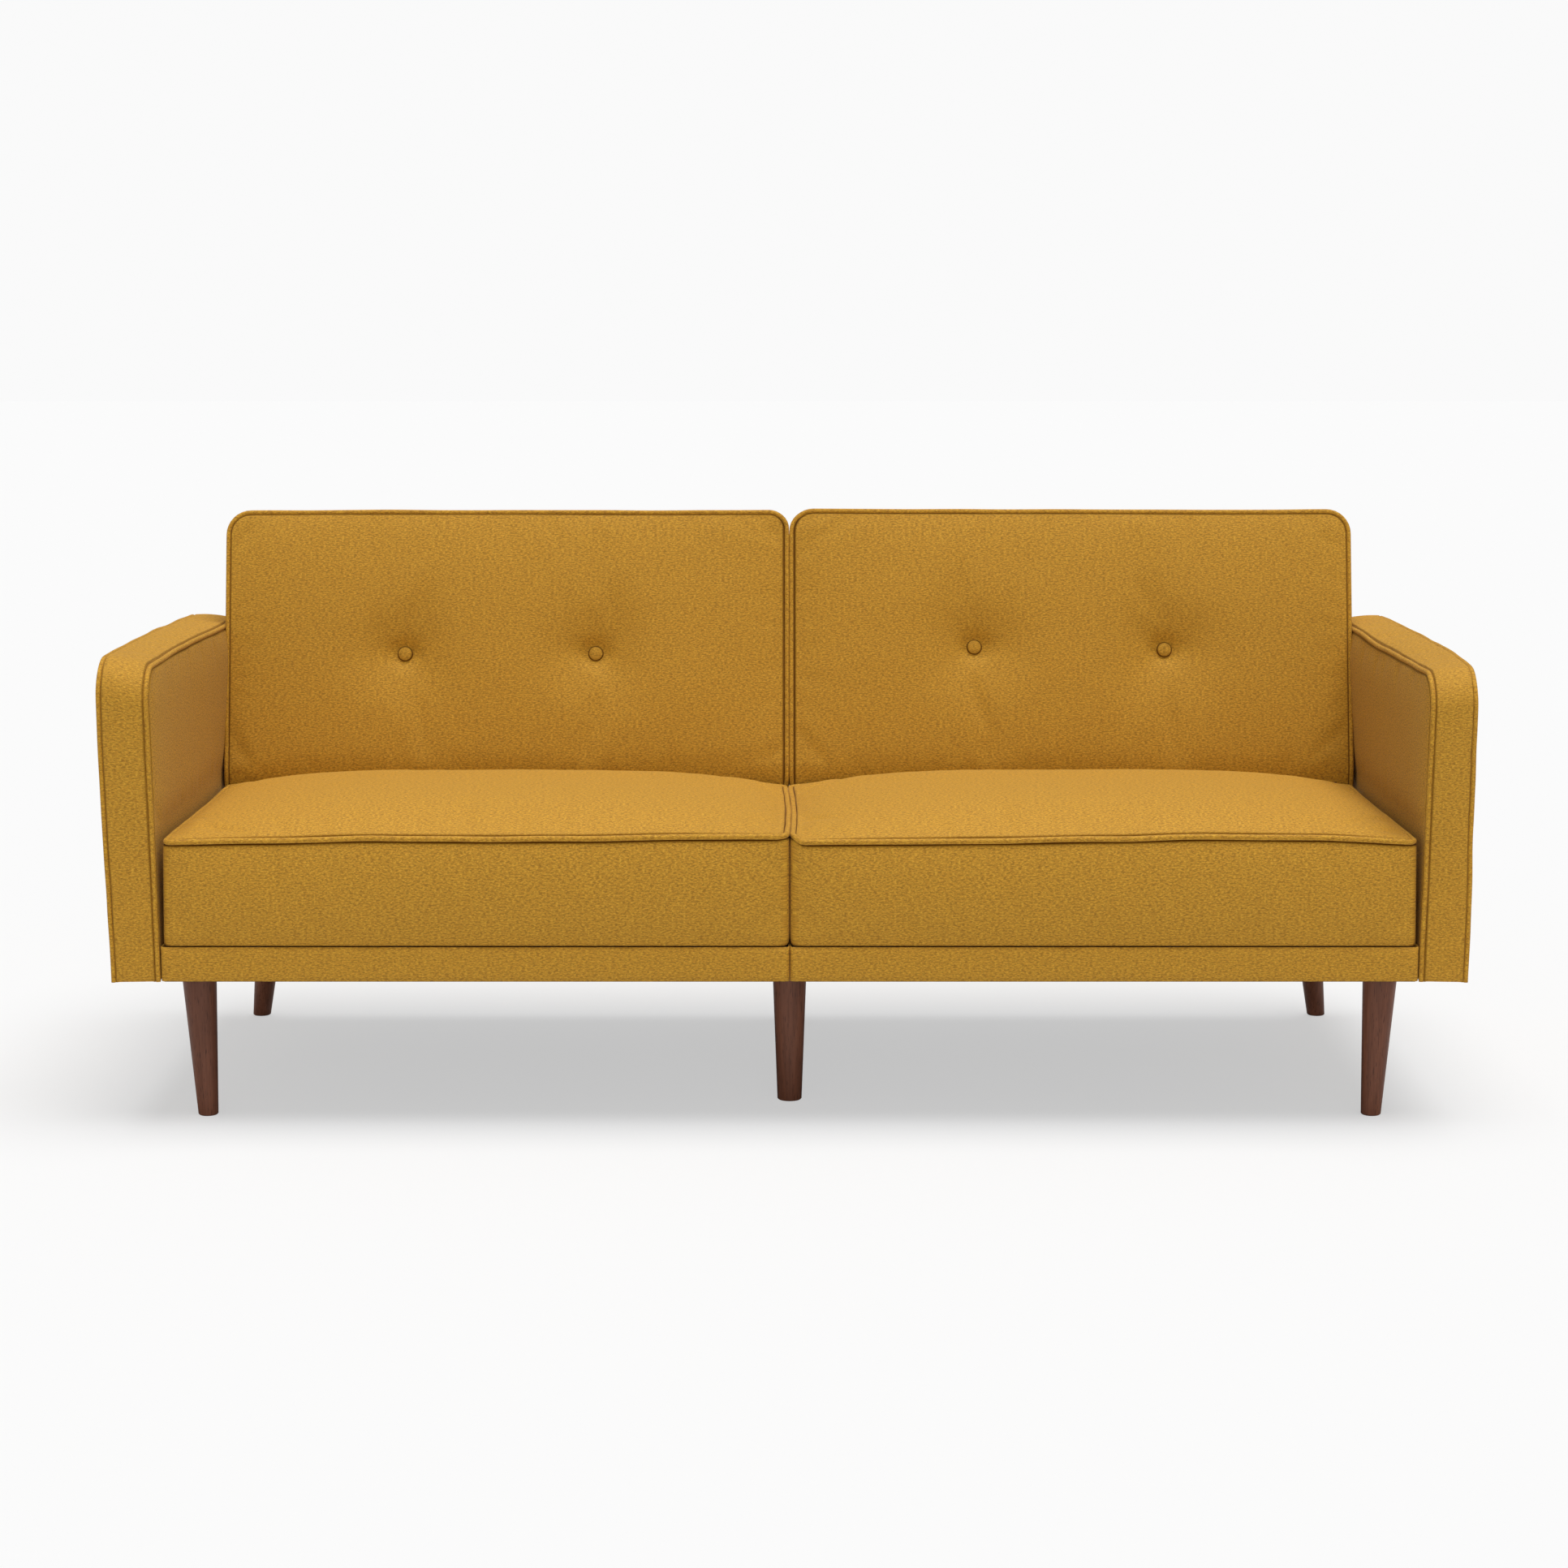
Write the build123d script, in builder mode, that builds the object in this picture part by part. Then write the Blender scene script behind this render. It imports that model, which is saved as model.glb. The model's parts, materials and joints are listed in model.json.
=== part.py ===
"""Two-module sofa bed with turned wooden legs, a split reclining back and piped upholstery.

Millimetres. +X runs to the right as seen from the front, +Y to the back, +Z up.
The origin is on the floor, under the middle of the sofa's footprint.
"left" and "right" are as seen by someone who stands in front of the sofa.
"""

import os
from math import cos, radians, sin, tan

from build123d import *

# ---------------------------------------------------------------- driving sizes
overall_width = 1900.0
leg_height = 208.0  # floor to the underside of the frame
sides = (("left", -1), ("right", 1))

# arms
arm_depth = 770.0
arm_height = 440.0  # above the underside of the frame
arm_thickness = 68.0
arm_lean = 0.9  # degrees that each arm leans outwards
arm_corner_radius = 55.0
arm_padding_thickness = 12.0
arm_board = 22.0
arm_bottom_board = 46.0
side_gap = 3.0  # between a seat module and its arm

# modules
module_gap = 3.0  # between the left and the right module
seat_depth = 537.0
seat_edge_height = 403.0
seat_crown = 37.0
seat_corner_radius = 14.0
base_depth = 740.0
band_height = 49.0  # fabric band that wraps the base frame
band_thickness = 2.0
band_fold = 25.0  # width of the band that is turned under the frame
dust_cover_thickness = 0.8
dust_cover_margin = 2.0  # from the edge of the frame
rail_thickness = 28.0
rail_drop = 3.0  # rails end this far below the top of the band
cover_thickness = 2.5
piping_diameter = 6.0
piping_clearance = 0.4
fit_gap = 0.3
overcut = 1.0  # how far a cutting shape runs past a face

# springs
springs_per_module = 4
spring_headroom = 0.4  # between the springs and the foam
spring_clearance = 0.05
spring_wire = 3.9
spring_swing = 44.0
spring_turns = 10
clip_length = 14.0
clip_depth = 12.0

# back
pivot_behind_seat = 12.0
pivot_below_edge = 15.0
back_recline = 13.7  # degrees behind vertical when upright
back_length = 430.0
back_thickness = 135.0
back_corner_radius = 34.0
back_frame_depth = 70.0
back_rail = 20.0
back_frame_clearance = 0.2  # between the frame and the cover
webbing_count = 4
webbing_width = 50.0
webbing_thickness = 1.5
webbing_landing = 15.0  # how far each strap lies on a stile
button_diameter = 24.0
button_height = 9.0
button_rounding = 4.0
button_dimple = 16.0  # how deep each button is pulled into the back
button_spacing = 296.0
button_centre_offset = 4.0  # outwards from the middle of the module
button_drop = 4.5  # below the middle of the back
button_cord_diameter = 3.0
button_cord_clearance = 0.1

# hinges
bracket_thickness = 4.0
bracket_width = 18.0
bracket_boss_radius = 10.0
pivot_radius = 5.0
pivot_head_radius = 8.0
pivot_head_height = 4.0
pivot_clearance = 0.05
bracket_foot_length = 64.0
bracket_foot_margin = 4.5  # from the upper and lower edges of the rail
bracket_reach = 190.0  # along the back's stile
bracket_slot_margin = 0.5

# legs
corner_leg_top_diameter = 49.0
corner_leg_foot_diameter = 28.0
centre_leg_top_diameter = 50.0
centre_leg_foot_diameter = 35.0
leg_foot_chamfer = 1.5
front_leg_inset = 37.0  # from the outer side of the module
front_leg_setback = 77.0
rear_leg_inset = 47.0
rear_leg_setback = 50.0  # from the back of the base
centre_leg_setback = 166.0
front_leg_toe_in = 8.0
rear_leg_splay_out = 28.0
rear_leg_splay_back = 33.0
leg_bolt_radius = 4.0
leg_bolt_in_leg = 30.0
leg_bolt_in_frame = 28.0
leg_block_width = 60.0
leg_block_depth = 90.0
leg_block_drop = 4.0  # below the top of the rails
centre_plate_length = 110.0
centre_plate_width = 70.0
centre_plate_thickness = 3.0

# frame bolts
frame_bolt_radius = 4.0
bolt_head_radius = 8.0
bolt_head_height = 5.0
bolt_hole_clearance = 0.3
arm_bolt_positions = (150.0, 300.0, 450.0)  # behind the front face
arm_bolt_share = 0.6  # of the arm's thickness that each arm bolt goes through
join_bolt_positions = (100.0, 400.0, 640.0)

# ---------------------------------------------------------------- worked out
front = -arm_depth / 2
lean_offset = arm_height * tan(radians(arm_lean))
arm_inner_x = overall_width / 2 - lean_offset - arm_thickness / cos(radians(arm_lean))
module_outer_x = arm_inner_x - side_gap
module_inner_x = module_gap / 2
module_width = module_outer_x - module_inner_x
module_centre_x = (module_outer_x + module_inner_x) / 2
rabbet = piping_diameter + piping_clearance  # step that the piping lies in
piping_inset = piping_diameter / 2  # from the outer faces to the middle of the piping

seat_bottom = leg_height + band_height
seat_centre_y = front + seat_depth / 2
rail_bottom = leg_height + dust_cover_thickness + band_thickness
rail_top = seat_bottom - rail_drop
rail_half_span = module_width / 2 - band_thickness  # module middle to a side rail's outer face
rail_inner_half = rail_half_span - rail_thickness
base_front = front + band_thickness
base_back = front + base_depth - band_thickness
cross_rail_back = front + seat_depth
foam_bottom = rail_top + spring_wire + spring_headroom

pivot_y = front + seat_depth + pivot_behind_seat
pivot_z = seat_edge_height - pivot_below_edge
back_front_v = pivot_below_edge  # the back's front face, ahead of the pivot
back_rear_v = back_front_v - back_thickness
back_start_u = pivot_behind_seat  # the back's lower end, above the pivot
back_plane = Plane(
    origin=(0, pivot_y, pivot_z),
    x_dir=(1, 0, 0),
    z_dir=(0, -cos(radians(back_recline)), sin(radians(back_recline))),
)
back_normal = Axis(back_plane.origin, back_plane.z_dir)
back_frame_rear_v = back_rear_v + cover_thickness
back_frame_front_v = back_frame_rear_v + back_frame_depth
back_foam_rear_v = back_frame_front_v + webbing_thickness + fit_gap

# bracket layers, measured outwards from the middle of the module
seat_bracket_outer = rail_inner_half
seat_bracket_inner = seat_bracket_outer - bracket_thickness
back_bracket_inner = seat_bracket_outer + fit_gap
back_bracket_outer = back_bracket_inner + bracket_thickness
back_bracket_top = bracket_boss_radius + bracket_slot_margin

os.makedirs("parts", exist_ok=True)


def write(label, *solids):
    """Labels one piece, or a group of separate solids, and writes it to parts/."""
    body = solids[0] if len(solids) == 1 else Compound([s for part in solids for s in part.solids()])
    body.label = label
    export_step(body, f"parts/{label}.step")


def block(x_range, y_range, z_range):
    """A square-edged block between two opposite corners."""
    spans = [sorted(r) for r in (x_range, y_range, z_range)]
    with BuildPart() as body:
        with Locations(tuple((low + high) / 2 for low, high in spans)):
            Box(*(high - low for low, high in spans))
    return body.part


def rod(start, axis, length, radius):
    """A round bar from start along a direction."""
    with BuildPart() as body:
        with BuildSketch(Plane(origin=start, z_dir=axis)):
            Circle(radius)
        extrude(amount=length)
    return body.part


def cut(blank, *tools):
    """The blank with each tool's volume taken away."""
    with BuildPart() as body:
        add(blank)
        for tool in tools:
            add(tool, mode=Mode.SUBTRACT)
    return body.part


def module_span(side, near, far):
    """X range between two distances measured outwards from the middle of a module."""
    return (side * (module_centre_x + near), side * (module_centre_x + far))


# ---------------------------------------------------------------- shared fasteners
frame_bolt_z = (rail_bottom + rail_top) / 2


def arm_bolts(side, radius):
    """Shanks of the bolts that hold one arm, from inside the side rail into the arm's board."""
    start_x = side * (module_centre_x + rail_inner_half)
    length = rail_thickness + band_thickness + side_gap + arm_thickness * arm_bolt_share
    return [
        rod((start_x, front + y, frame_bolt_z), (side, 0, 0), length, radius)
        for y in arm_bolt_positions
    ]


join_bolt_half = module_centre_x - rail_inner_half


def join_bolts(radius):
    """Shanks of the bolts that hold the two modules together, through both inner side rails."""
    return [
        rod((-join_bolt_half, front + y, frame_bolt_z), (1, 0, 0), 2 * join_bolt_half, radius)
        for y in join_bolt_positions
    ]


leg_positions = {}
for side_name, side in sides:
    front_x = side * (module_outer_x - front_leg_inset)
    front_y = front + front_leg_setback
    leg_positions[f"front_{side_name}_leg"] = (
        (front_x, front_y),
        (front_x - side * front_leg_toe_in, front_y),
    )
    rear_x = side * (module_outer_x - rear_leg_inset)
    rear_y = front + base_depth - rear_leg_setback
    leg_positions[f"rear_{side_name}_leg"] = (
        (rear_x, rear_y),
        (rear_x + side * rear_leg_splay_out, rear_y + rear_leg_splay_back),
    )
centre_leg_rows = {
    "front_centre_leg": front + centre_leg_setback,
    "rear_centre_leg": front + base_depth - rear_leg_setback,
}
for name, y in centre_leg_rows.items():
    leg_positions[name] = ((0, y), (0, y))


def leg_bolt(name, radius):
    """The vertical hanger bolt of one leg."""
    (x, y), _ = leg_positions[name]
    bottom = leg_height - leg_bolt_in_leg
    return rod((x, y, bottom), (0, 0, 1), leg_bolt_in_leg + leg_bolt_in_frame, radius)


leg_bolt_holes = [leg_bolt(name, leg_bolt_radius + bolt_hole_clearance) for name in leg_positions]


# ---------------------------------------------------------------- base frame
def base_frame(side_name, side):
    """Rails of one module's base, with the holes of the bolts that cross them."""
    height = (rail_bottom, rail_top)
    full = module_span(side, -rail_half_span, rail_half_span)
    between = module_span(side, -rail_inner_half, rail_inner_half)
    write(f"{side_name}_front_rail", block(full, (base_front, base_front + rail_thickness), height))
    write(f"{side_name}_rear_rail", block(full, (base_back - rail_thickness, base_back), height))
    write(
        f"{side_name}_cross_rail",
        block(between, (cross_rail_back - rail_thickness, cross_rail_back), height),
    )
    long_way = (base_front + rail_thickness, base_back - rail_thickness)
    outer = block(module_span(side, rail_inner_half, rail_half_span), long_way, height)
    inner = block(module_span(side, -rail_half_span, -rail_inner_half), long_way, height)
    outer = cut(outer, *arm_bolts(side, frame_bolt_radius + bolt_hole_clearance))
    inner = cut(inner, *join_bolts(frame_bolt_radius + bolt_hole_clearance), *leg_bolt_holes)
    write(f"{side_name}_side_rails", outer, inner)


def leg_blocks():
    """Wooden blocks glued into the outer corners of the base, which the corner legs screw into."""
    blocks = []
    reaches = (
        (base_front + rail_thickness, base_front + rail_thickness + leg_block_depth),
        (base_back - rail_thickness - leg_block_depth, base_back - rail_thickness),
    )
    for _, side in sides:
        span = module_span(side, rail_inner_half - leg_block_width, rail_inner_half)
        for reach in reaches:
            blank = block(span, reach, (rail_bottom, rail_top - leg_block_drop))
            blocks.append(cut(blank, *[leg_bolt(n, leg_bolt_radius) for n in leg_positions]))
    write("leg_blocks", *blocks)


def band(side_name, side):
    """Fabric band wrapped round the base frame and turned under it."""
    centre = (side * module_centre_x, front + base_depth / 2)
    with BuildPart() as wrap:
        with BuildSketch(Plane.XY.offset(leg_height + dust_cover_thickness)):
            with Locations(centre):
                Rectangle(module_width, base_depth)
        extrude(amount=band_height - dust_cover_thickness)
        with BuildSketch(Plane.XY.offset(rail_bottom)):
            with Locations(centre):
                Rectangle(module_width - 2 * band_thickness, base_depth - 2 * band_thickness)
        extrude(amount=band_height, mode=Mode.SUBTRACT)
        with BuildSketch(Plane.XY.offset(leg_height)):
            with Locations(centre):
                Rectangle(module_width - 2 * band_fold, base_depth - 2 * band_fold)
        extrude(amount=band_height, mode=Mode.SUBTRACT)
    holes = [
        *arm_bolts(side, frame_bolt_radius + bolt_hole_clearance),
        *join_bolts(frame_bolt_radius + bolt_hole_clearance),
        *leg_bolt_holes,
    ]
    write(f"{side_name}_base_band", cut(wrap.part, *holes))


def dust_cover(side_name, side):
    """Thin black cloth stapled over the underside of the base."""
    half_width = module_width / 2 - dust_cover_margin
    sheet = block(
        module_span(side, -half_width, half_width),
        (front + dust_cover_margin, front + base_depth - dust_cover_margin),
        (leg_height, leg_height + dust_cover_thickness),
    )
    write(f"{side_name}_dust_cover", cut(sheet, *leg_bolt_holes))


# ---------------------------------------------------------------- seat springs
spring_z = rail_top + spring_wire / 2 + spring_clearance
spring_front = base_front + rail_thickness / 2
spring_back = cross_rail_back - rail_thickness / 2


def spring_places(side):
    """X of each spring in one module."""
    pitch = 2 * rail_inner_half / springs_per_module
    first = -rail_inner_half + pitch / 2
    return [side * (module_centre_x + first + pitch * n) for n in range(springs_per_module)]


def sinuous_spring(x):
    """One zigzag wire from the front rail to the cross rail."""
    step = (spring_back - spring_front) / spring_turns
    points = [(x - spring_swing / 2, spring_front)]
    swing = 1
    for n in range(spring_turns):
        y = spring_front + step * n
        points.append((x + swing * spring_swing / 2, y))
        points.append((x + swing * spring_swing / 2, y + step))
        swing = -swing
    points.append((x + swing * spring_swing / 2, spring_back))
    with BuildPart() as wire:
        with BuildLine(Plane.XY.offset(spring_z)) as path:
            FilletPolyline(*points, radius=spring_swing / 4)
        with BuildSketch(Plane(origin=path.line @ 0, z_dir=path.line % 0)):
            Circle(spring_wire / 2)
        sweep()
    return wire.part


def springs(side_name, side):
    """The zigzag springs of one module, and returns the clips that hold their ends."""
    places = spring_places(side)
    write(f"{side_name}_seat_springs", *[sinuous_spring(x) for x in places])
    clips = []
    for x in places:
        for y in (spring_front, spring_back):
            clip = block(
                (x - clip_length / 2, x + clip_length / 2),
                (y - clip_depth / 2, y + clip_depth / 2),
                (rail_top, foam_bottom - fit_gap / 2),
            )
            reach = (x - spring_swing / 2, x + spring_swing / 2)
            channel_radius = spring_wire / 2 + spring_clearance
            arch = rod((reach[0], y, spring_z), (1, 0, 0), spring_swing, channel_radius)
            way_in = block(reach, (y - channel_radius, y + channel_radius), (rail_top - overcut, spring_z))
            clips.append(cut(clip, arch, way_in))
    return clips


# ---------------------------------------------------------------- seat
def seat_envelope(side, skin, bottom):
    """The crowned seat shape of one module, with a step round its top edge for the piping."""
    centre = (side * module_centre_x, seat_centre_y)
    width = module_width - 2 * skin
    depth = seat_depth - 2 * skin
    step_z = seat_edge_height - rabbet - skin
    edge_z = seat_edge_height - skin
    crown_z = seat_edge_height + seat_crown - skin
    with BuildPart() as body:
        with BuildSketch(Plane.XY.offset(bottom)):
            with Locations(centre):
                RectangleRounded(width, depth, seat_corner_radius - skin)
        extrude(amount=step_z - bottom)
        with BuildSketch(Plane.XY.offset(bottom)):
            with Locations(centre):
                RectangleRounded(width - 2 * rabbet, depth - 2 * rabbet, seat_corner_radius - skin)
        extrude(amount=crown_z - bottom)
        with BuildSketch(Plane.YZ):
            with BuildLine():
                low, high = seat_centre_y - seat_depth / 2, seat_centre_y + seat_depth / 2
                ThreePointArc((low, edge_z), (seat_centre_y, crown_z), (high, edge_z))
                Polyline((high, edge_z), (high, bottom), (low, bottom), (low, edge_z))
            make_face()
        extrude(amount=overall_width, both=True, mode=Mode.INTERSECT)
        with BuildSketch(Plane.XZ):
            with BuildLine():
                low, high = centre[0] - module_width / 2, centre[0] + module_width / 2
                ThreePointArc((low, edge_z), (centre[0], crown_z), (high, edge_z))
                Polyline((high, edge_z), (high, bottom), (low, bottom), (low, edge_z))
            make_face()
        extrude(amount=base_depth, both=True, mode=Mode.INTERSECT)
    return body.part


def closed_piping(plane, centre, width, depth, radius):
    """A closed ring of piping along a rounded rectangle."""
    x, y = centre
    corners = [
        (x - width / 2, y - depth / 2),
        (x + width / 2, y - depth / 2),
        (x + width / 2, y + depth / 2),
        (x - width / 2, y + depth / 2),
    ]
    with BuildPart() as ring:
        with BuildLine(plane) as path:
            FilletPolyline(*corners, radius=radius, close=True)
        with BuildSketch(Plane(origin=path.line @ 0, z_dir=path.line % 0)):
            Circle(piping_diameter / 2)
        sweep()
    return ring.part


def seat(side_name, side):
    """Foam block, fabric cover and piping of one module's seat."""
    cover_bottom = seat_bottom + fit_gap
    write(f"{side_name}_seat_foam", seat_envelope(side, cover_thickness, foam_bottom))
    outer = seat_envelope(side, 0, cover_bottom)
    inner = seat_envelope(side, cover_thickness, cover_bottom)
    write(f"{side_name}_seat_cover", cut(outer, inner))
    piping = closed_piping(
        Plane.XY.offset(seat_edge_height - piping_inset),
        (side * module_centre_x, seat_centre_y),
        module_width - 2 * piping_inset,
        seat_depth - 2 * piping_inset,
        seat_corner_radius - piping_inset,
    )
    write(f"{side_name}_seat_piping", piping)


# ---------------------------------------------------------------- hinges
def hinge_layer(side, end, near, far):
    """X range of a bracket layer at the outer (end 1) or inner (end -1) hinge of a module."""
    return module_span(side, end * near, end * far)


def seat_bracket(side, end):
    """Steel bracket that stands on a side rail behind the seat and carries the pivot."""
    span = sorted(hinge_layer(side, end, seat_bracket_inner, seat_bracket_outer))
    foot_z = (rail_bottom + bracket_foot_margin, rail_top - bracket_foot_margin)
    strap_front = pivot_y - bracket_boss_radius
    with BuildPart() as plate:
        with BuildSketch(Plane.YZ.offset(span[0])):
            with BuildLine():
                Polyline(
                    (strap_front, foot_z[0]),
                    (strap_front + bracket_foot_length, foot_z[0]),
                    (strap_front + bracket_foot_length, foot_z[1]),
                    (strap_front + bracket_width, foot_z[1]),
                    (strap_front + bracket_width, pivot_z),
                    (strap_front, pivot_z),
                    close=True,
                )
            make_face()
            with Locations((pivot_y, pivot_z)):
                Circle(bracket_boss_radius)
                Circle(pivot_radius, mode=Mode.SUBTRACT)
        extrude(amount=bracket_thickness)
    return plate.part


def back_bracket(side, end):
    """Steel bracket that turns on the pivot and is screwed to a stile of the back frame."""
    span = sorted(hinge_layer(side, end, back_bracket_inner, back_bracket_outer))
    stile_v = back_frame_front_v - bracket_width
    neck_u = bracket_reach / 3
    bend_u = bracket_reach / 2
    half = bracket_width / 2
    outline = Plane(origin=back_plane.origin, x_dir=back_plane.y_dir, z_dir=(1, 0, 0)).offset(span[0])
    with BuildPart() as plate:
        with BuildSketch(outline):
            with BuildLine():
                Polyline(
                    (0, -half),
                    (neck_u, -half),
                    (bend_u, stile_v - half),
                    (bracket_reach, stile_v - half),
                    (bracket_reach, stile_v + half),
                    (bend_u, stile_v + half),
                    (neck_u + half, half),
                    (0, half),
                    close=True,
                )
            make_face()
            Circle(bracket_boss_radius)
            Circle(pivot_radius + pivot_clearance, mode=Mode.SUBTRACT)
        extrude(amount=bracket_thickness)
    return plate.part


def pivot_bolt(side, end):
    """Shoulder bolt through a pair of brackets, with a head at each end."""
    direction = side * end
    start = side * module_centre_x + direction * (seat_bracket_inner - pivot_head_height)
    shank = back_bracket_outer + fit_gap - seat_bracket_inner
    axis = Plane(origin=(start, pivot_y, pivot_z), z_dir=(direction, 0, 0))
    with BuildPart() as bolt:
        with BuildSketch(axis):
            Circle(pivot_head_radius)
        extrude(amount=pivot_head_height)
        with BuildSketch(axis.offset(pivot_head_height)):
            Circle(pivot_radius)
        extrude(amount=shank)
        with BuildSketch(axis.offset(pivot_head_height + shank)):
            Circle(pivot_head_radius)
        extrude(amount=pivot_head_height)
    return bolt.part


def hinges(side_name, side):
    """The two reclining hinges of one module."""
    ends = (-1, 1)
    write(f"{side_name}_hinge_seat_brackets", *[seat_bracket(side, end) for end in ends])
    write(f"{side_name}_hinge_back_brackets", *[back_bracket(side, end) for end in ends])
    write(f"{side_name}_hinge_pivots", *[pivot_bolt(side, end) for end in ends])


# ---------------------------------------------------------------- back
back_centre_u = back_start_u + back_length / 2
button_u = back_centre_u - button_drop


def back_envelope(side, skin):
    """The back's box shape, with a step round its front edge for the piping."""
    centre = (side * module_centre_x, back_centre_u)
    width = module_width - 2 * skin
    length = back_length - 2 * skin
    radius = back_corner_radius - skin
    rear = back_rear_v + skin
    with BuildPart() as body:
        with BuildSketch(back_plane.offset(rear)):
            with Locations(centre):
                RectangleRounded(width, length, radius)
        extrude(amount=back_thickness - rabbet - 2 * skin)
        with BuildSketch(back_plane.offset(rear)):
            with Locations(centre):
                RectangleRounded(width - 2 * rabbet, length - 2 * rabbet, radius - rabbet)
        extrude(amount=back_thickness - 2 * skin)
    return body.part


def bracket_slots(side):
    """Slots in the lower end of the back that the hinge brackets pass through."""
    slots = []
    for end in (-1, 1):
        span = sorted(hinge_layer(side, end, back_bracket_inner, back_bracket_outer))
        depth = bracket_reach + bracket_slot_margin - back_start_u
        height = back_bracket_top - back_frame_rear_v
        with BuildPart() as slot:
            with BuildSketch(back_plane.offset(back_frame_rear_v)):
                with Locations(((span[0] + span[1]) / 2, back_start_u + (depth - overcut) / 2)):
                    Rectangle(span[1] - span[0] + 2 * bracket_slot_margin, depth + overcut)
            extrude(amount=height)
        slots.append(slot.part)
    return slots


def button_places(side):
    """X of the two buttons of one module."""
    middle = module_centre_x + button_centre_offset
    return [side * (middle + s * button_spacing / 2) for s in (-1, 1)]


def button(x):
    """Domed, fabric-covered button with its cord, which is tied off behind the webbing."""
    seat_v = back_front_v - button_dimple
    cord_length = seat_v - back_foam_rear_v
    with BuildPart() as body:
        with BuildSketch(back_plane.offset(seat_v)):
            with Locations((x, button_u)):
                Circle(button_diameter / 2)
        extrude(amount=button_height)
        fillet(body.faces().sort_by(back_normal)[-1].edges(), button_rounding)
        with BuildSketch(back_plane.offset(back_foam_rear_v)):
            with Locations((x, button_u)):
                Circle(button_cord_diameter / 2)
        extrude(amount=cord_length)
    return body.part


def button_well(x, radius):
    """Dimple in the back's face, with the channel of the button's cord."""
    with BuildPart() as body:
        with BuildSketch(back_plane.offset(back_front_v - button_dimple)):
            with Locations((x, button_u)):
                Circle(radius)
        extrude(amount=button_dimple + overcut)
        with BuildSketch(back_plane.offset(back_rear_v / 2)):
            with Locations((x, button_u)):
                Circle(button_cord_diameter / 2 + button_cord_clearance)
        extrude(amount=back_thickness / 2)
    return body.part


def back_frame(side_name, side):
    """Two stiles and two rails of the back's wooden frame."""
    stile_outer = module_width / 2 - cover_thickness - back_frame_clearance
    stile_inner = back_bracket_outer
    half_length = back_length / 2 - cover_thickness - back_frame_clearance
    rail_mid = half_length - back_rail / 2
    middle = side * module_centre_x
    regions = [
        (middle + (stile_inner + stile_outer) / 2, back_centre_u, stile_outer - stile_inner, 2 * half_length),
        (middle - (stile_inner + stile_outer) / 2, back_centre_u, stile_outer - stile_inner, 2 * half_length),
        (middle, back_centre_u + rail_mid, 2 * stile_inner, back_rail),
        (middle, back_centre_u - rail_mid, 2 * stile_inner, back_rail),
    ]
    boards = []
    for x, u, width, length in regions:
        with BuildPart() as board:
            with BuildSketch(back_plane.offset(back_frame_rear_v)):
                with Locations((middle, back_centre_u)):
                    RectangleRounded(2 * stile_outer, 2 * half_length, back_corner_radius - cover_thickness)
                with Locations((x, u)):
                    Rectangle(width, length, mode=Mode.INTERSECT)
            extrude(amount=back_frame_depth)
        boards.append(board.part)
    slots = bracket_slots(side)
    write(f"{side_name}_back_frame", *[cut(board, *slots) for board in boards])


def back_webbing(side_name, side):
    """Elastic straps across the front of the back frame."""
    half_width = back_bracket_outer + webbing_landing
    pitch = (back_length - 2 * back_rail) / (webbing_count + 1)
    straps = []
    for n in range(webbing_count):
        u = back_start_u + back_rail + pitch * (n + 1)
        with BuildPart() as strap:
            with BuildSketch(back_plane.offset(back_frame_front_v)):
                with Locations((side * module_centre_x, u)):
                    Rectangle(2 * half_width, webbing_width)
            extrude(amount=webbing_thickness)
        straps.append(cut(strap.part, *bracket_slots(side)))
    write(f"{side_name}_back_webbing", *straps)


def back(side_name, side):
    """Frame, webbing, foam, cover, piping and buttons of one reclining back."""
    back_frame(side_name, side)
    back_webbing(side_name, side)
    slots = bracket_slots(side)
    places = button_places(side)
    well_radius = button_diameter / 2 + fit_gap
    wells = [button_well(x, well_radius) for x in places]
    wide_wells = [button_well(x, well_radius + cover_thickness) for x in places]
    with BuildPart() as rear_half:
        with BuildSketch(back_plane.offset(back_rear_v)):
            with Locations((side * module_centre_x, back_centre_u)):
                Rectangle(module_width, back_length)
        extrude(amount=back_foam_rear_v - back_rear_v)
    inner = back_envelope(side, cover_thickness)
    write(f"{side_name}_back_foam", cut(inner, rear_half.part, *wide_wells, *slots))
    write(f"{side_name}_back_cover", cut(back_envelope(side, 0), inner, *wells, *slots))
    piping = closed_piping(
        back_plane.offset(back_front_v - piping_inset),
        (side * module_centre_x, back_centre_u),
        module_width - 2 * piping_inset,
        back_length - 2 * piping_inset,
        back_corner_radius - piping_inset,
    )
    write(f"{side_name}_back_piping", piping)
    write(f"{side_name}_back_buttons", *[button(x) for x in places])


# ---------------------------------------------------------------- arms
def arm_plane(depth):
    """Plane of the right arm at a depth outwards from its inner face: x is back, y is up."""
    lean = radians(arm_lean)
    return Plane(
        origin=(arm_inner_x, front, leg_height),
        x_dir=(0, 1, 0),
        z_dir=(cos(lean), 0, -sin(lean)),
    ).offset(depth)


def arm_slab(inset, bottom, near, far):
    """A slab with the arm's outline, rounded at its two upper corners."""
    low, high = inset, arm_depth - inset
    top = arm_height - inset
    with BuildPart() as slab:
        with BuildSketch(arm_plane(near)) as outline:
            with BuildLine():
                Polyline((low, bottom), (high, bottom), (high, top), (low, top), close=True)
            make_face()
            upper = outline.vertices().group_by(Axis.Y)[-1]
            fillet(upper, arm_corner_radius - inset)
        extrude(amount=far - near)
    return slab.part


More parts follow.
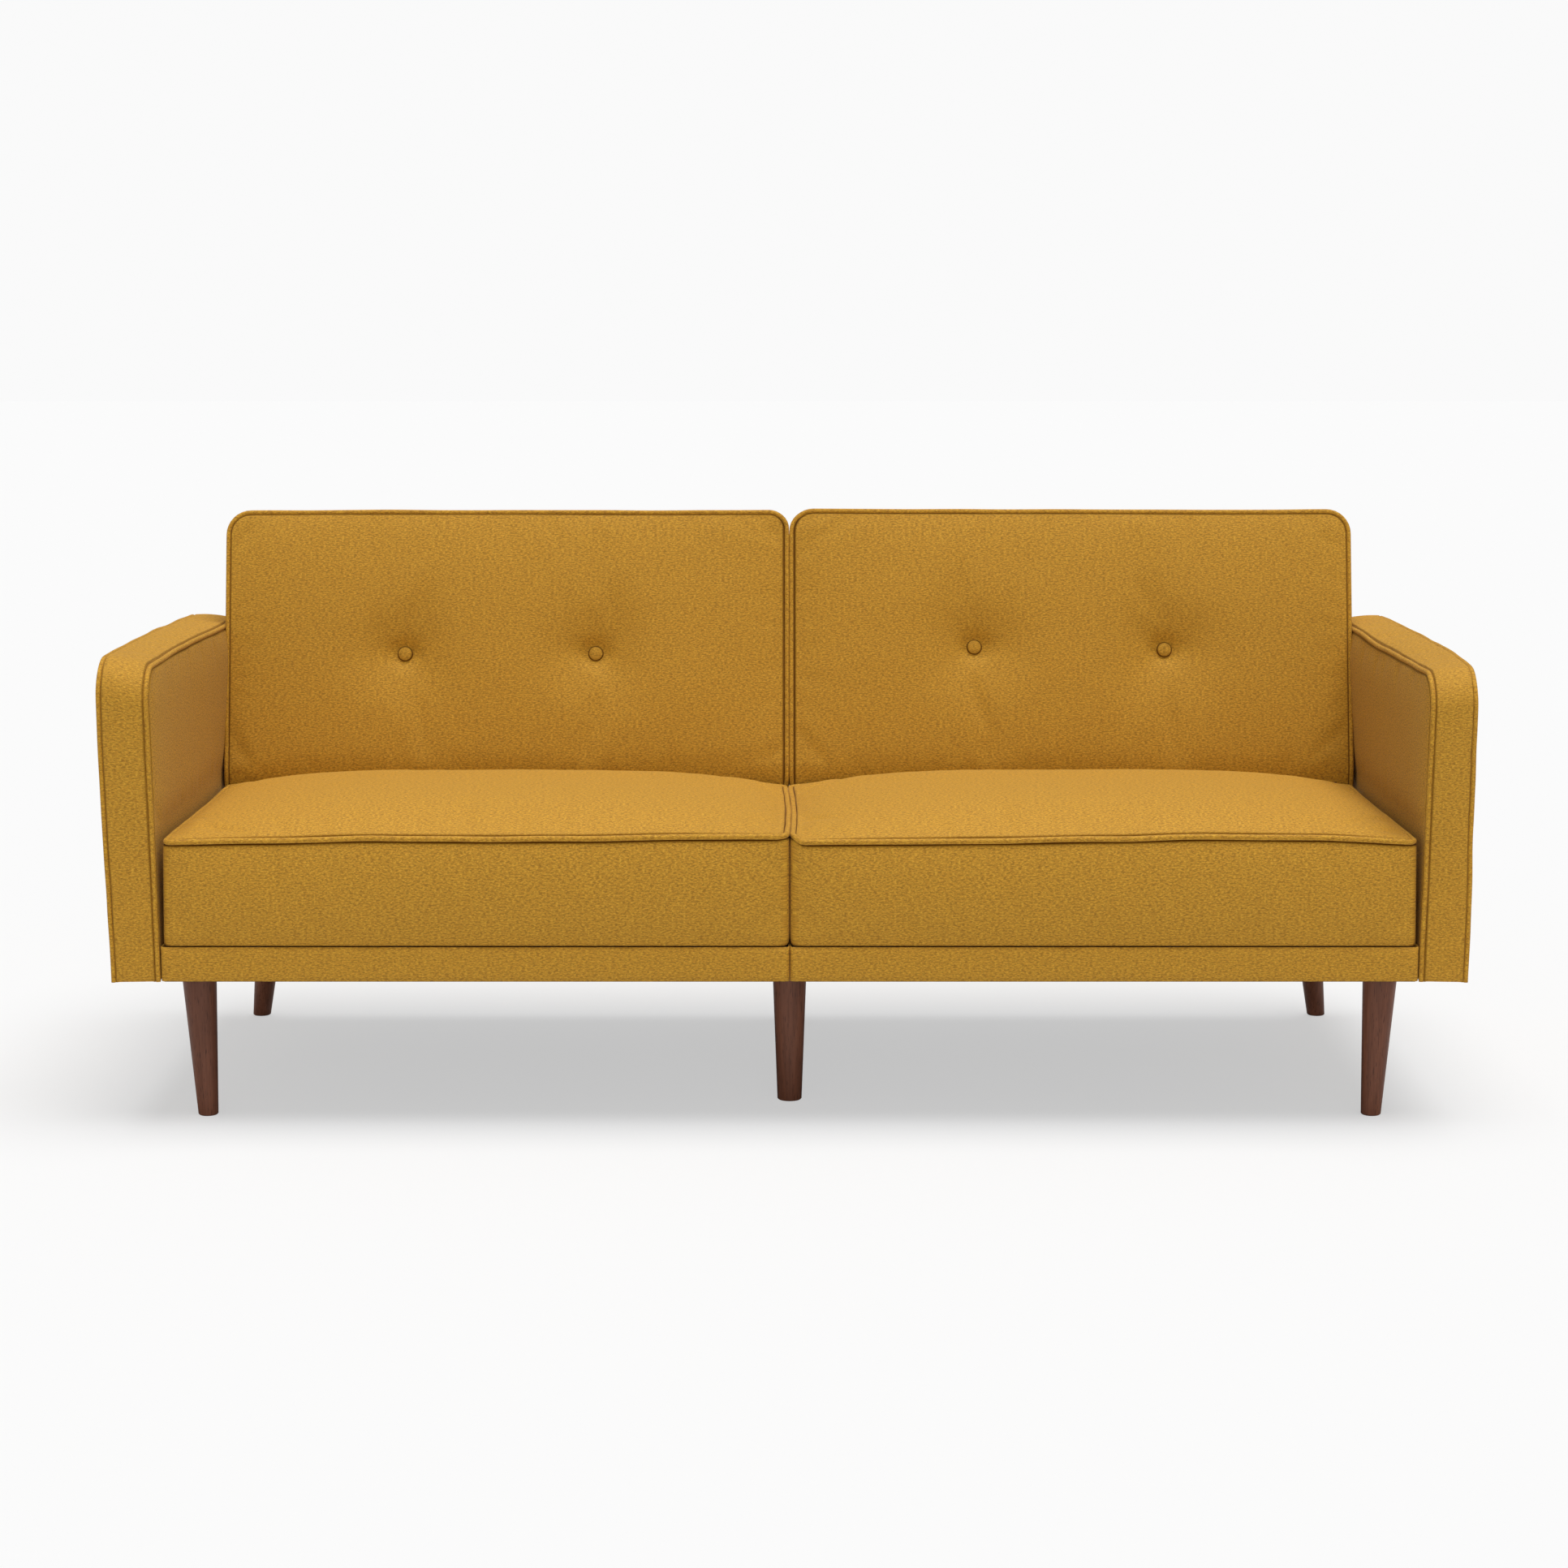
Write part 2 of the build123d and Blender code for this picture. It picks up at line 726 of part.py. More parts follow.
def arm_envelope(skin):
    """The arm's outer shape, with a step along both edges for the piping."""
    with BuildPart() as body:
        add(arm_slab(skin, skin, rabbet + skin, arm_thickness - rabbet - skin))
        add(arm_slab(rabbet + skin, skin, skin, arm_thickness - skin))
    return body.part


def arm_boards():
    """Frame of the right arm: bottom, top, front and rear boards."""
    edge = cover_thickness + rabbet + arm_padding_thickness
    near = cover_thickness + arm_padding_thickness
    thickness = arm_thickness - 2 * near
    low, high = edge, arm_depth - edge
    bottom, top = cover_thickness, arm_height - edge
    corner = arm_corner_radius - edge
    regions = [
        (low, high, bottom, bottom + arm_bottom_board),
        (low + corner, high - corner, top - arm_board, top),
        (low, low + arm_board, bottom + arm_bottom_board, top - corner),
        (high - arm_board, high, bottom + arm_bottom_board, top - corner),
    ]
    boards = []
    for x0, x1, y0, y1 in regions:
        with BuildPart() as board:
            with BuildSketch(arm_plane(near)):
                with Locations(((x0 + x1) / 2, (y0 + y1) / 2)):
                    Rectangle(x1 - x0, y1 - y0)
            extrude(amount=thickness)
        boards.append(board.part)
    return boards


def place(side, solid):
    """A right-hand solid, or its mirror image for the left side."""
    with BuildPart() as body:
        if side > 0:
            add(solid)
        else:
            add(mirror(solid, about=Plane.YZ))
    return body.part


def arm_piping(depth):
    """Piping along one edge of the right arm, up the front, over the top and down the back."""
    low, high = piping_inset, arm_depth - piping_inset
    with BuildPart() as tube:
        with BuildLine(arm_plane(depth)) as path:
            FilletPolyline(
                (low, 0),
                (low, arm_height - piping_inset),
                (high, arm_height - piping_inset),
                (high, 0),
                radius=arm_corner_radius - piping_inset,
            )
        with BuildSketch(Plane(origin=path.line @ 0, z_dir=path.line % 0)):
            Circle(piping_diameter / 2)
        sweep()
    return tube.part


def arm(side_name, side):
    """Boards, padding, cover and piping of one arm."""
    near = cover_thickness + arm_padding_thickness
    cavity_edge = cover_thickness + rabbet + arm_padding_thickness
    cavity = arm_slab(cavity_edge, cover_thickness, near, arm_thickness - near)
    inner = arm_envelope(cover_thickness)
    threads = arm_bolts(1, frame_bolt_radius)
    clear = arm_bolts(1, frame_bolt_radius + bolt_hole_clearance)
    write(f"{side_name}_arm_frame", *[place(side, cut(board, *threads)) for board in arm_boards()])
    write(f"{side_name}_arm_padding", place(side, cut(inner, cavity, *clear)))
    write(f"{side_name}_arm_cover", place(side, cut(arm_envelope(0), inner, *clear)))
    tubes = [arm_piping(piping_inset), arm_piping(arm_thickness - piping_inset)]
    write(f"{side_name}_arm_piping", *[place(side, tube) for tube in tubes])


# ---------------------------------------------------------------- bolts
def bolt_head(x, y, direction):
    """Hexagonal head or nut that bears on a rail."""
    with BuildPart() as head:
        with BuildSketch(Plane(origin=(x, front + y, frame_bolt_z), z_dir=(direction, 0, 0))):
            RegularPolygon(bolt_head_radius, 6)
        extrude(amount=bolt_head_height)
    return head.part


def fused(*solids):
    """Solids joined into one."""
    with BuildPart() as body:
        for solid in solids:
            add(solid)
    return body.part


def frame_bolts():
    """Bolts of both arms, and the bolts and nuts that join the modules."""
    arm_set = []
    for _, side in sides:
        inner_face = side * (module_centre_x + rail_inner_half)
        for y, shank in zip(arm_bolt_positions, arm_bolts(side, frame_bolt_radius)):
            arm_set.append(fused(shank, bolt_head(inner_face, y, -side)))
    write("arm_bolts", *arm_set)
    join_set = []
    for y, shank in zip(join_bolt_positions, join_bolts(frame_bolt_radius)):
        heads = [bolt_head(s * join_bolt_half, y, s) for s in (-1, 1)]
        join_set.append(fused(shank, *heads))
    write("module_joining_bolts", *join_set)


# ---------------------------------------------------------------- legs
def leg(name):
    """Turned, tapered leg whose two ends are cut level."""
    (top_x, top_y), (foot_x, foot_y) = leg_positions[name]
    centred = name in centre_leg_rows
    top_diameter = centre_leg_top_diameter if centred else corner_leg_top_diameter
    foot_diameter = centre_leg_foot_diameter if centred else corner_leg_foot_diameter
    top_z = leg_height - centre_plate_thickness if centred else leg_height
    with BuildPart() as body:
        with BuildSketch(Plane((foot_x, foot_y, 0))):
            Circle(foot_diameter / 2)
        with BuildSketch(Plane((top_x, top_y, top_z))):
            Circle(top_diameter / 2)
        loft()
        chamfer(body.edges().group_by(Axis.Z)[0], leg_foot_chamfer)
    write(name, cut(body.part, leg_bolt(name, leg_bolt_radius)))


def centre_plates():
    """Steel plates under the joint of the two modules, which carry the centre legs."""
    plates = []
    for name, y in centre_leg_rows.items():
        plate = block(
            (-centre_plate_length / 2, centre_plate_length / 2),
            (y - centre_plate_width / 2, y + centre_plate_width / 2),
            (leg_height - centre_plate_thickness, leg_height),
        )
        plates.append(cut(plate, leg_bolt(name, leg_bolt_radius)))
    write("centre_leg_plates", *plates)


# ---------------------------------------------------------------- the sofa
spring_clips = []
for side_name, side in sides:
    base_frame(side_name, side)
    band(side_name, side)
    dust_cover(side_name, side)
    spring_clips += springs(side_name, side)
    seat(side_name, side)
    hinges(side_name, side)
    back(side_name, side)
    arm(side_name, side)
write("spring_clips", *spring_clips)
leg_blocks()
frame_bolts()
for leg_name in leg_positions:
    leg(leg_name)
write("leg_bolts", *[leg_bolt(name, leg_bolt_radius) for name in leg_positions])
centre_plates()
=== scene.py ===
"""Looks of a two-module sofa bed: padded seats, backs and arms, piping, base band, legs and fittings."""

import json
import logging
import math
from dataclasses import dataclass
from enum import Enum
from typing import Callable, Iterable, Sequence

import bmesh
import bpy
from mathutils import Matrix, Vector, noise


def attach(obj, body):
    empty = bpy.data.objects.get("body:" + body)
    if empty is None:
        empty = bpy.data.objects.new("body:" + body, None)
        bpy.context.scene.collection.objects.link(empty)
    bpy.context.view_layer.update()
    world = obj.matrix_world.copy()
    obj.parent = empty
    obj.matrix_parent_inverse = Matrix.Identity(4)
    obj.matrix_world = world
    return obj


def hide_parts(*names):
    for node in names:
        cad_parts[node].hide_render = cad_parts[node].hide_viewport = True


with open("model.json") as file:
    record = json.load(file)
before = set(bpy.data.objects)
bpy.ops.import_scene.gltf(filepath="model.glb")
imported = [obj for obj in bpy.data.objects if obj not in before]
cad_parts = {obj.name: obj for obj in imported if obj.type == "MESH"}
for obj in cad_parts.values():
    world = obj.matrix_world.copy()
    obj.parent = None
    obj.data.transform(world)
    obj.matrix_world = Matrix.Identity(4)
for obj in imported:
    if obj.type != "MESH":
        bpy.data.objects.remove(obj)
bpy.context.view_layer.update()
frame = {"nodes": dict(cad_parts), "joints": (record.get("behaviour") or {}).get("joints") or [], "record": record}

log = logging.getLogger("sofa")

MM = 0.001
TOUCH = 0.01 * MM  # places closer together than this are the same
Point = tuple[float, float, float]
Colour = tuple[float, float, float, float]
Socket = bpy.types.NodeSocket


class Side(Enum):
    """The half of the sofa a piece belongs to, as seen from the front."""

    LEFT = "left"
    RIGHT = "right"

    @property
    def sign(self) -> int:
        """-1 for the left half, 1 for the right half."""
        return -1 if self is Side.LEFT else 1

    @property
    def seed(self) -> float:
        """An offset that gives each half its own unevenness."""
        return 31.7 if self is Side.LEFT else 4.3


class Lay(Enum):
    """What a finish's pattern follows."""

    SEWN = "the panel's own UV map, in metres"
    SOLID = "object coordinates, in metres"


# Painted shade: this attribute marks where the cloth is darkened as if shaded, in the creases beside the piping
# and round the rims of the buttons.
CREASE_SHADE = "crease_shade"  # mesh attribute: 1 in the creases that the piping lies in, 0 elsewhere


# ---------------------------------------------------------------- shader graphs
class Graph:
    """A node tree, with short ways to add and join nodes."""

    def __init__(self, tree: bpy.types.NodeTree) -> None:
        """Takes the tree to add to."""
        self.tree = tree

    def node(self, kind: str, **settings: object) -> bpy.types.Node:
        """Adds a node.

        Args:
            kind: The node's type name without its ShaderNode prefix.
            **settings: Properties to set on it.

        Returns:
            The new node.
        """
        made = self.tree.nodes.new(kind if kind.startswith("Node") else f"ShaderNode{kind}")
        for name, value in settings.items():
            setattr(made, name, value)
        return made

    def feed(self, target: Socket, value: object) -> None:
        """Joins a socket to a target, or sets a plain value on it."""
        if isinstance(value, Socket):
            self.tree.links.new(value, target)
        else:
            target.default_value = value

    def math(self, operation: str, *values: object, clamp: bool = False) -> Socket:
        """Adds a Math node and returns its output."""
        made = self.node("Math", operation=operation, use_clamp=clamp)
        for target, value in zip(made.inputs, values):
            self.feed(target, value)
        return made.outputs[0]

    def mix(self, factor: object, first: object, second: object) -> Socket:
        """Adds a colour Mix node and returns its colour."""
        made = self.node("Mix", data_type="RGBA")
        self.feed(made.inputs[0], factor)
        self.feed(made.inputs[6], first)
        self.feed(made.inputs[7], second)
        return made.outputs[2]

    def stretch(self, vector: Socket, scale: Point) -> Socket:
        """Scales a coordinate along its axes and returns it."""
        made = self.node("Mapping")
        self.feed(made.inputs["Vector"], vector)
        made.inputs["Scale"].default_value = scale
        return made.outputs[0]

    def noise(self, vector: Socket, scale: float, detail: float = 2.0, grit: float = 0.5) -> Socket:
        """Adds a Noise texture.

        Args:
            vector: The coordinate it reads.
            scale: Its scale.
            detail: The number of finer layers in it.
            grit: How strong the finer layers are, from 0 to 1.

        Returns:
            Its value.
        """
        made = self.node("TexNoise")
        self.feed(made.inputs["Vector"], vector)
        made.inputs["Scale"].default_value = scale
        made.inputs["Detail"].default_value = detail
        made.inputs["Roughness"].default_value = grit
        return made.outputs[0]

    def step(self, value: Socket, low: float, high: float) -> Socket:
        """Maps a value smoothly from 0 at low to 1 at high."""
        made = self.node("MapRange", interpolation_type="SMOOTHSTEP")
        self.feed(made.inputs[0], value)
        made.inputs[1].default_value = low
        made.inputs[2].default_value = high
        return made.outputs[0]


@dataclass(frozen=True)
class Effect:
    """A shader node group that several finishes share.

    Attributes:
        name: The group's name.
        inputs: Its plain inputs, after the coordinate.
        outputs: Its outputs, all plain values.
        build: Fills the group: takes the graph and its inputs, returns a value for each output.
    """

    name: str
    inputs: tuple[str, ...]
    outputs: tuple[str, ...]
    build: Callable[..., Sequence[Socket]]

    def group(self) -> bpy.types.NodeTree:
        """Returns the node group, and makes it the first time."""
        if self.name in bpy.data.node_groups:
            return bpy.data.node_groups[self.name]
        tree = bpy.data.node_groups.new(self.name, "ShaderNodeTree")
        tree.interface.new_socket("Vector", in_out="INPUT", socket_type="NodeSocketVector")
        for name in self.inputs:
            tree.interface.new_socket(name, in_out="INPUT", socket_type="NodeSocketFloat")
        for name in self.outputs:
            tree.interface.new_socket(name, in_out="OUTPUT", socket_type="NodeSocketFloat")
        graph = Graph(tree)
        way_in = graph.node("NodeGroupInput")
        way_out = graph.node("NodeGroupOutput")
        sockets = way_in.outputs[: 1 + len(self.inputs)]
        for target, value in zip(way_out.inputs, self.build(graph, *sockets)):
            graph.feed(target, value)
        return tree

    def place(self, graph: Graph, vector: Socket, *values: float) -> list[Socket]:
        """Puts the group in a material.

        Args:
            graph: The material's graph.
            vector: The coordinate it reads.
            *values: The material's own value for each plain input.

        Returns:
            Its outputs, in order.
        """
        made = graph.node("Group")
        made.node_tree = self.group()
        graph.feed(made.inputs[0], vector)
        for target, value in zip(made.inputs[1:], values):
            target.default_value = value
        return list(made.outputs)


def plain_weave(graph: Graph, vector: Socket, pitch: Socket, drift: Socket) -> list[Socket]:
    """Builds a plain weave.

    Args:
        graph: The group's graph.
        vector: The coordinate, in metres.
        pitch: The distance from thread to thread, in metres.
        drift: How far the threads wander, in pitches.

    Returns:
        The height of the threads and the mask of the weft threads.
    """
    scaled = graph.node("VectorMath", operation="SCALE")
    graph.feed(scaled.inputs[0], vector)
    graph.feed(scaled.inputs["Scale"], graph.math("DIVIDE", 1.0, pitch))
    cloud = graph.node("TexNoise")
    graph.feed(cloud.inputs["Vector"], scaled.outputs[0])
    cloud.inputs["Scale"].default_value = 0.13
    wander = graph.node("VectorMath", operation="SCALE")
    graph.feed(wander.inputs[0], cloud.outputs[1])
    graph.feed(wander.inputs["Scale"], drift)
    moved = graph.node("VectorMath", operation="ADD")
    graph.feed(moved.inputs[0], scaled.outputs[0])
    graph.feed(moved.inputs[1], wander.outputs[0])
    parts = graph.node("SeparateXYZ")
    graph.feed(parts.inputs[0], moved.outputs[0])
    across, along = (
        graph.math("ABSOLUTE", graph.math("SINE", graph.math("MULTIPLY", part, math.pi)))
        for part in parts.outputs[:2]
    )
    checks = graph.node("TexChecker")
    graph.feed(checks.inputs["Vector"], moved.outputs[0])
    checks.inputs["Color1"].default_value = (1, 1, 1, 1)
    checks.inputs["Color2"].default_value = (0, 0, 0, 1)
    checks.inputs["Scale"].default_value = 1.0
    weft = checks.outputs[1]
    warp = graph.math("SUBTRACT", 1.0, weft)
    crossing = graph.math("MULTIPLY", across, warp)
    return [graph.math("ADD", graph.math("MULTIPLY", along, weft), crossing), weft]


def melange(graph: Graph, vector: Socket, amount: Socket) -> list[Socket]:
    """Builds the flecks of a blended yarn, which lie along X.

    Args:
        graph: The group's graph.
        vector: The coordinate, in metres.
        amount: How strong the flecks are, from 0 to 1.

    Returns:
        The masks of the dark and the light flecks, and a slow change of tone.
    """
    yarn = graph.noise(graph.stretch(vector, (190.0, 460.0, 460.0)), 1.0, 3.0, 0.62)
    slub = graph.noise(graph.stretch(vector, (250.0, 560.0, 560.0)), 1.0, 3.0, 0.62)
    dark = graph.step(yarn, 0.44, 0.62)
    light = graph.step(slub, 0.47, 0.66)
    tone = graph.step(graph.noise(graph.stretch(vector, (30.0, 60.0, 60.0)), 1.0, 3.0), 0.30, 0.70)
    return [graph.math("MULTIPLY", dark, amount), graph.math("MULTIPLY", light, amount), tone]


def long_grain(graph: Graph, vector: Socket, contrast: Socket) -> list[Socket]:
    """Builds wood grain that runs along Z.

    Args:
        graph: The group's graph.
        vector: The coordinate, in metres.
        contrast: How strong the grain is, from 0 to 1.

    Returns:
        The masks of its broad figure, its fine streaks and its pores.
    """
    figure = graph.step(graph.noise(graph.stretch(vector, (38.0, 38.0, 3.2)), 1.0, 4.0), 0.32, 0.68)
    streaks = graph.step(graph.noise(graph.stretch(vector, (330.0, 330.0, 9.0)), 1.0, 3.0), 0.30, 0.72)
    pores = graph.step(graph.noise(graph.stretch(vector, (900.0, 900.0, 46.0)), 1.0, 1.0), 0.60, 0.74)
    return [graph.math("MULTIPLY", mask, contrast) for mask in (figure, streaks, pores)]


def patches(graph: Graph, vector: Socket, amount: Socket) -> list[Socket]:
    """Builds the smudges and the speckle of handled or sprayed surfaces.

    Args:
        graph: The group's graph.
        vector: The coordinate, in metres.
        amount: How strong they are, from 0 to 1.

    Returns:
        The masks of the broad smudges and the fine speckle.
    """
    broad = graph.step(graph.noise(vector, 26.0, 4.0), 0.35, 0.70)
    fine = graph.step(graph.noise(vector, 900.0, 2.0), 0.35, 0.65)
    return [graph.math("MULTIPLY", broad, amount), graph.math("MULTIPLY", fine, amount)]


WEAVE = Effect("plain_weave", ("Pitch", "Drift"), ("Height", "Weft"), plain_weave)
MELANGE = Effect("melange", ("Amount",), ("Dark", "Light", "Tone"), melange)
GRAIN = Effect("long_grain", ("Contrast",), ("Figure", "Streaks", "Pores"), long_grain)
PATCHES = Effect("patches", ("Amount",), ("Broad", "Fine"), patches)


@dataclass(frozen=True)
class Finish:
    """What every finish shares: a name and the way to start its material."""

    name: str

    def start(self) -> tuple[bpy.types.Material, Graph, bpy.types.Node]:
        """Makes an empty material.

        Returns:
            The material, its graph and its shader.
        """
        material = bpy.data.materials.new(self.name)
        material.use_nodes = True
        material.node_tree.nodes.clear()
        graph = Graph(material.node_tree)
        shader = graph.node("BsdfPrincipled")
        output = graph.node("OutputMaterial")
        graph.feed(output.inputs[0], shader.outputs[0])
        return material, graph, shader

    def coordinate(self, graph: Graph, lay: Lay) -> Socket:
        """Adds the coordinate that the pattern follows and returns it."""
        if lay is Lay.SEWN:
            return graph.node("UVMap", uv_map="panel").outputs[0]
        return graph.node("TexCoord").outputs["Object"]

    def bump(self, graph: Graph, shader: bpy.types.Node, height: Socket, distance: float) -> None:
        """Lets a height shape the surface.

        Args:
            graph: The material's graph.
            shader: The shader whose normal it sets.
            height: The height, from 0 to 1.
            distance: The real height of 1, in metres.
        """
        made = graph.node("Bump")
        made.inputs["Strength"].default_value = 0.7
        made.inputs["Distance"].default_value = distance
        graph.feed(made.inputs["Height"], height)
        graph.feed(shader.inputs["Normal"], made.outputs[0])

    def material(self) -> bpy.types.Material:
        """Returns the material, and makes it the first time."""
        if self.name in bpy.data.materials:
            return bpy.data.materials[self.name]
        return self.build()

    def build(self) -> bpy.types.Material:
        """Makes the material. Each kind of finish has its own way."""
        raise NotImplementedError


@dataclass(frozen=True)
class WovenCloth(Finish):
    """Woven cloth of a blended yarn.

    Attributes:
        base: The cloth's main colour.
        dark: The colour of its dark flecks.
        light: The colour of its light flecks.
        pitch: The distance from thread to thread, in metres.
        drift: How far the threads wander, in pitches.
        flecks: How strong the flecks are, from 0 to 1.
        relief: The height of a thread, in metres.
        sheen: The weight of the soft sheen of its loose fibres.
        lint: The colour of those fibres.
        gloss: The strength of its soft gloss.
        crease_shade: The colour of the painted shade in the creases beside its piping and round its buttons.
        bounce: The colour it lends to the pieces round it, if not its own.
        lay: What the weave follows.
    """

    base: Colour
    dark: Colour
    light: Colour
    pitch: float = 1.3 * MM
    drift: float = 1.6
    flecks: float = 0.85
    relief: float = 0.25 * MM
    sheen: float = 0.08
    lint: Colour = (1.0, 0.90, 0.72, 1.0)
    gloss: float = 0.5
    crease_shade: Colour = (0.150, 0.056, 0.003, 1.0)
    bounce: Colour | None = None
    lay: Lay = Lay.SEWN

    def build(self) -> bpy.types.Material:
        """Makes the cloth's material."""
        material, graph, shader = self.start()
        place = self.coordinate(graph, self.lay)
        dark, light, tone = MELANGE.place(graph, place, self.flecks)
        height, _ = WEAVE.place(graph, place, self.pitch, self.drift)
        colour = graph.mix(graph.math("MULTIPLY", tone, 0.12), self.base, self.dark)
        colour = graph.mix(dark, colour, self.dark)
        colour = graph.mix(light, colour, self.light)
        groove = graph.math("SUBTRACT", 1.0, height)
        colour = graph.mix(graph.math("MULTIPLY", groove, 0.25), colour, self.dark)
        # Painted shade: the creases beside the piping and the rims of the buttons are mixed towards a dark brown,
        # as if shaded, and lose their gloss.
        crease_shade_mask = graph.node("Attribute", attribute_name=CREASE_SHADE).outputs["Fac"]
        colour = graph.mix(crease_shade_mask, colour, self.crease_shade)
        if self.bounce:
            seen = graph.node("LightPath").outputs["Is Camera Ray"]
            colour = graph.mix(seen, self.bounce, colour)
        graph.feed(shader.inputs["Base Color"], colour)
        rough = graph.math("ADD", 0.68, graph.math("MULTIPLY", groove, 0.12))
        graph.feed(shader.inputs["Roughness"], rough)
        open_cloth = graph.math("SUBTRACT", 1.0, crease_shade_mask, clamp=True)
        graph.feed(shader.inputs["Specular IOR Level"], graph.math("MULTIPLY", open_cloth, self.gloss))
        shader.inputs["Sheen Weight"].default_value = self.sheen
        shader.inputs["Sheen Roughness"].default_value = 0.45
        shader.inputs["Sheen Tint"].default_value = self.lint
        relief = graph.math("ADD", height, graph.math("MULTIPLY", dark, -0.5))
        self.bump(graph, shader, relief, self.relief)
        return material


@dataclass(frozen=True)
class StainedWood(Finish):
    """Wood whose grain runs along Z or along X.

    Attributes:
        base: The wood's main colour.
        dark: The colour of its dark figure.
        pore: The colour of its pores.
        varnish: The weight of the varnish, from 0 for sawn wood to 1.
        roughness: The surface's roughness.
        contrast: How strong the grain is, from 0 to 1.
        lengthwise: True if the grain runs along X instead of Z.
    """

    base: Colour
    dark: Colour
    pore: Colour
    varnish: float = 0.0
    roughness: float = 0.6
    contrast: float = 0.65
    lengthwise: bool = False

    def build(self) -> bpy.types.Material:
        """Makes the wood's material."""
        material, graph, shader = self.start()
        place = self.coordinate(graph, Lay.SOLID)
        if self.lengthwise:
            turn = graph.node("Mapping")
            turn.inputs["Rotation"].default_value = (0.0, math.pi / 2, 0.0)
            graph.feed(turn.inputs["Vector"], place)
            place = turn.outputs[0]
        figure, streaks, pores = GRAIN.place(graph, place, self.contrast)
        colour = graph.mix(figure, self.base, self.dark)
        colour = graph.mix(graph.math("MULTIPLY", streaks, 0.7), colour, self.dark)
        colour = graph.mix(pores, colour, self.pore)
        graph.feed(shader.inputs["Base Color"], colour)
        rough = graph.math("ADD", self.roughness, graph.math("MULTIPLY", streaks, 0.12))
        graph.feed(shader.inputs["Roughness"], rough)
        shader.inputs["Specular IOR Level"].default_value = 0.3
        shader.inputs["Coat Weight"].default_value = self.varnish
        shader.inputs["Coat Roughness"].default_value = 0.22
        relief = graph.math("SUBTRACT", graph.math("MULTIPLY", streaks, 0.4), pores)
        self.bump(graph, shader, relief, 0.08 * MM)
        return material


@dataclass(frozen=True)
class Coating(Finish):
    """Metal or moulded plastic, bare or sprayed.

    Attributes:
        base: The main colour.
        worn: The colour of its smudges.
        metallic: 1 for bare metal, 0 for paint or plastic.
        roughness: The surface's roughness.
        relief: The height of its speckle, in metres.
        wear: How strong its smudges are, from 0 to 1.
    """

    base: Colour
    worn: Colour
    metallic: float = 0.0
    roughness: float = 0.45
    relief: float = 0.03 * MM
    wear: float = 0.5

    def build(self) -> bpy.types.Material:
        """Makes the coating's material."""
        material, graph, shader = self.start()
        broad, fine = PATCHES.place(graph, self.coordinate(graph, Lay.SOLID), self.wear)
        graph.feed(shader.inputs["Base Color"], graph.mix(broad, self.base, self.worn))
        rough = graph.math("ADD", self.roughness, graph.math("MULTIPLY", broad, 0.3))
        graph.feed(shader.inputs["Roughness"], rough)
        shader.inputs["Metallic"].default_value = self.metallic
        self.bump(graph, shader, fine, self.relief)
        return material


@dataclass(frozen=True)
class Foam(Finish):
    """Cut upholstery foam or wadding.

    Attributes:
        base: The foam's main colour.
        deep: The colour inside its cells.
        wear: How strong its cells show, from 0 to 1.
    """

    base: Colour
    deep: Colour
    wear: float = 0.5

    def build(self) -> bpy.types.Material:
        """Makes the foam's material."""
        material, graph, shader = self.start()
        broad, fine = PATCHES.place(graph, self.coordinate(graph, Lay.SOLID), self.wear)
        colour = graph.mix(graph.math("MULTIPLY", broad, 0.6), self.base, self.deep)
        colour = graph.mix(fine, colour, self.deep)
        graph.feed(shader.inputs["Base Color"], colour)
        shader.inputs["Roughness"].default_value = 0.95
        self.bump(graph, shader, fine, 0.4 * MM)
        return material


MUSTARD = (0.735, 0.356, 0.020, 1.0)
MUSTARD_DARK = (0.420, 0.180, 0.006, 1.0)
MUSTARD_LIGHT = (0.960, 0.545, 0.042, 1.0)
MUSTARD_BOUNCE = (0.520, 0.330, 0.130, 1.0)

UPHOLSTERY = WovenCloth("mustard_upholstery", MUSTARD, MUSTARD_DARK, MUSTARD_LIGHT, bounce=MUSTARD_BOUNCE)
PIPING_CLOTH = WovenCloth(
    "mustard_piping_cloth",
    MUSTARD,
    MUSTARD_DARK,
    MUSTARD_LIGHT,
    bounce=MUSTARD_BOUNCE,
    lay=Lay.SOLID,
)
UNDERLINING = WovenCloth(
    "black_underlining_cloth",
    (0.012, 0.012, 0.011, 1.0),
    (0.004, 0.004, 0.004, 1.0),
    (0.030, 0.030, 0.028, 1.0),
    pitch=0.8 * MM,
    relief=0.1 * MM,
    sheen=0.1,
)
STRAP_CLOTH = WovenCloth(
    "elastic_webbing",
    (0.045, 0.035, 0.024, 1.0),
    (0.012, 0.010, 0.008, 1.0),
    (0.120, 0.100, 0.070, 1.0),
    pitch=2.2 * MM,
    relief=0.5 * MM,
    sheen=0.1,
    lay=Lay.SOLID,
)
WALNUT = StainedWood(
    "walnut_stained_leg",
    (0.330, 0.118, 0.060, 1.0),
    (0.130, 0.043, 0.021, 1.0),
    (0.026, 0.010, 0.006, 1.0),
    varnish=0.15,
    roughness=0.42,
)
SAWN_PINE = StainedWood(
    "sawn_frame_wood",
    (0.560, 0.380, 0.210, 1.0),
    (0.370, 0.210, 0.095, 1.0),
    (0.220, 0.120, 0.055, 1.0),
    roughness=0.72,
    lengthwise=True,
)
BRACKET_ENAMEL = Coating("black_bracket_enamel", (0.015, 0.015, 0.016, 1.0), (0.030, 0.030, 0.032, 1.0))
SPRING_STEEL = Coating(
    "oiled_spring_steel",
    (0.20, 0.20, 0.21, 1.0),
    (0.11, 0.10, 0.10, 1.0),
    metallic=1.0,
    roughness=0.35,
)
ZINC = Coating(
    "zinc_plated_steel",
    (0.52, 0.53, 0.55, 1.0),
    (0.40, 0.41, 0.42, 1.0),
    metallic=1.0,
    roughness=0.32,
)
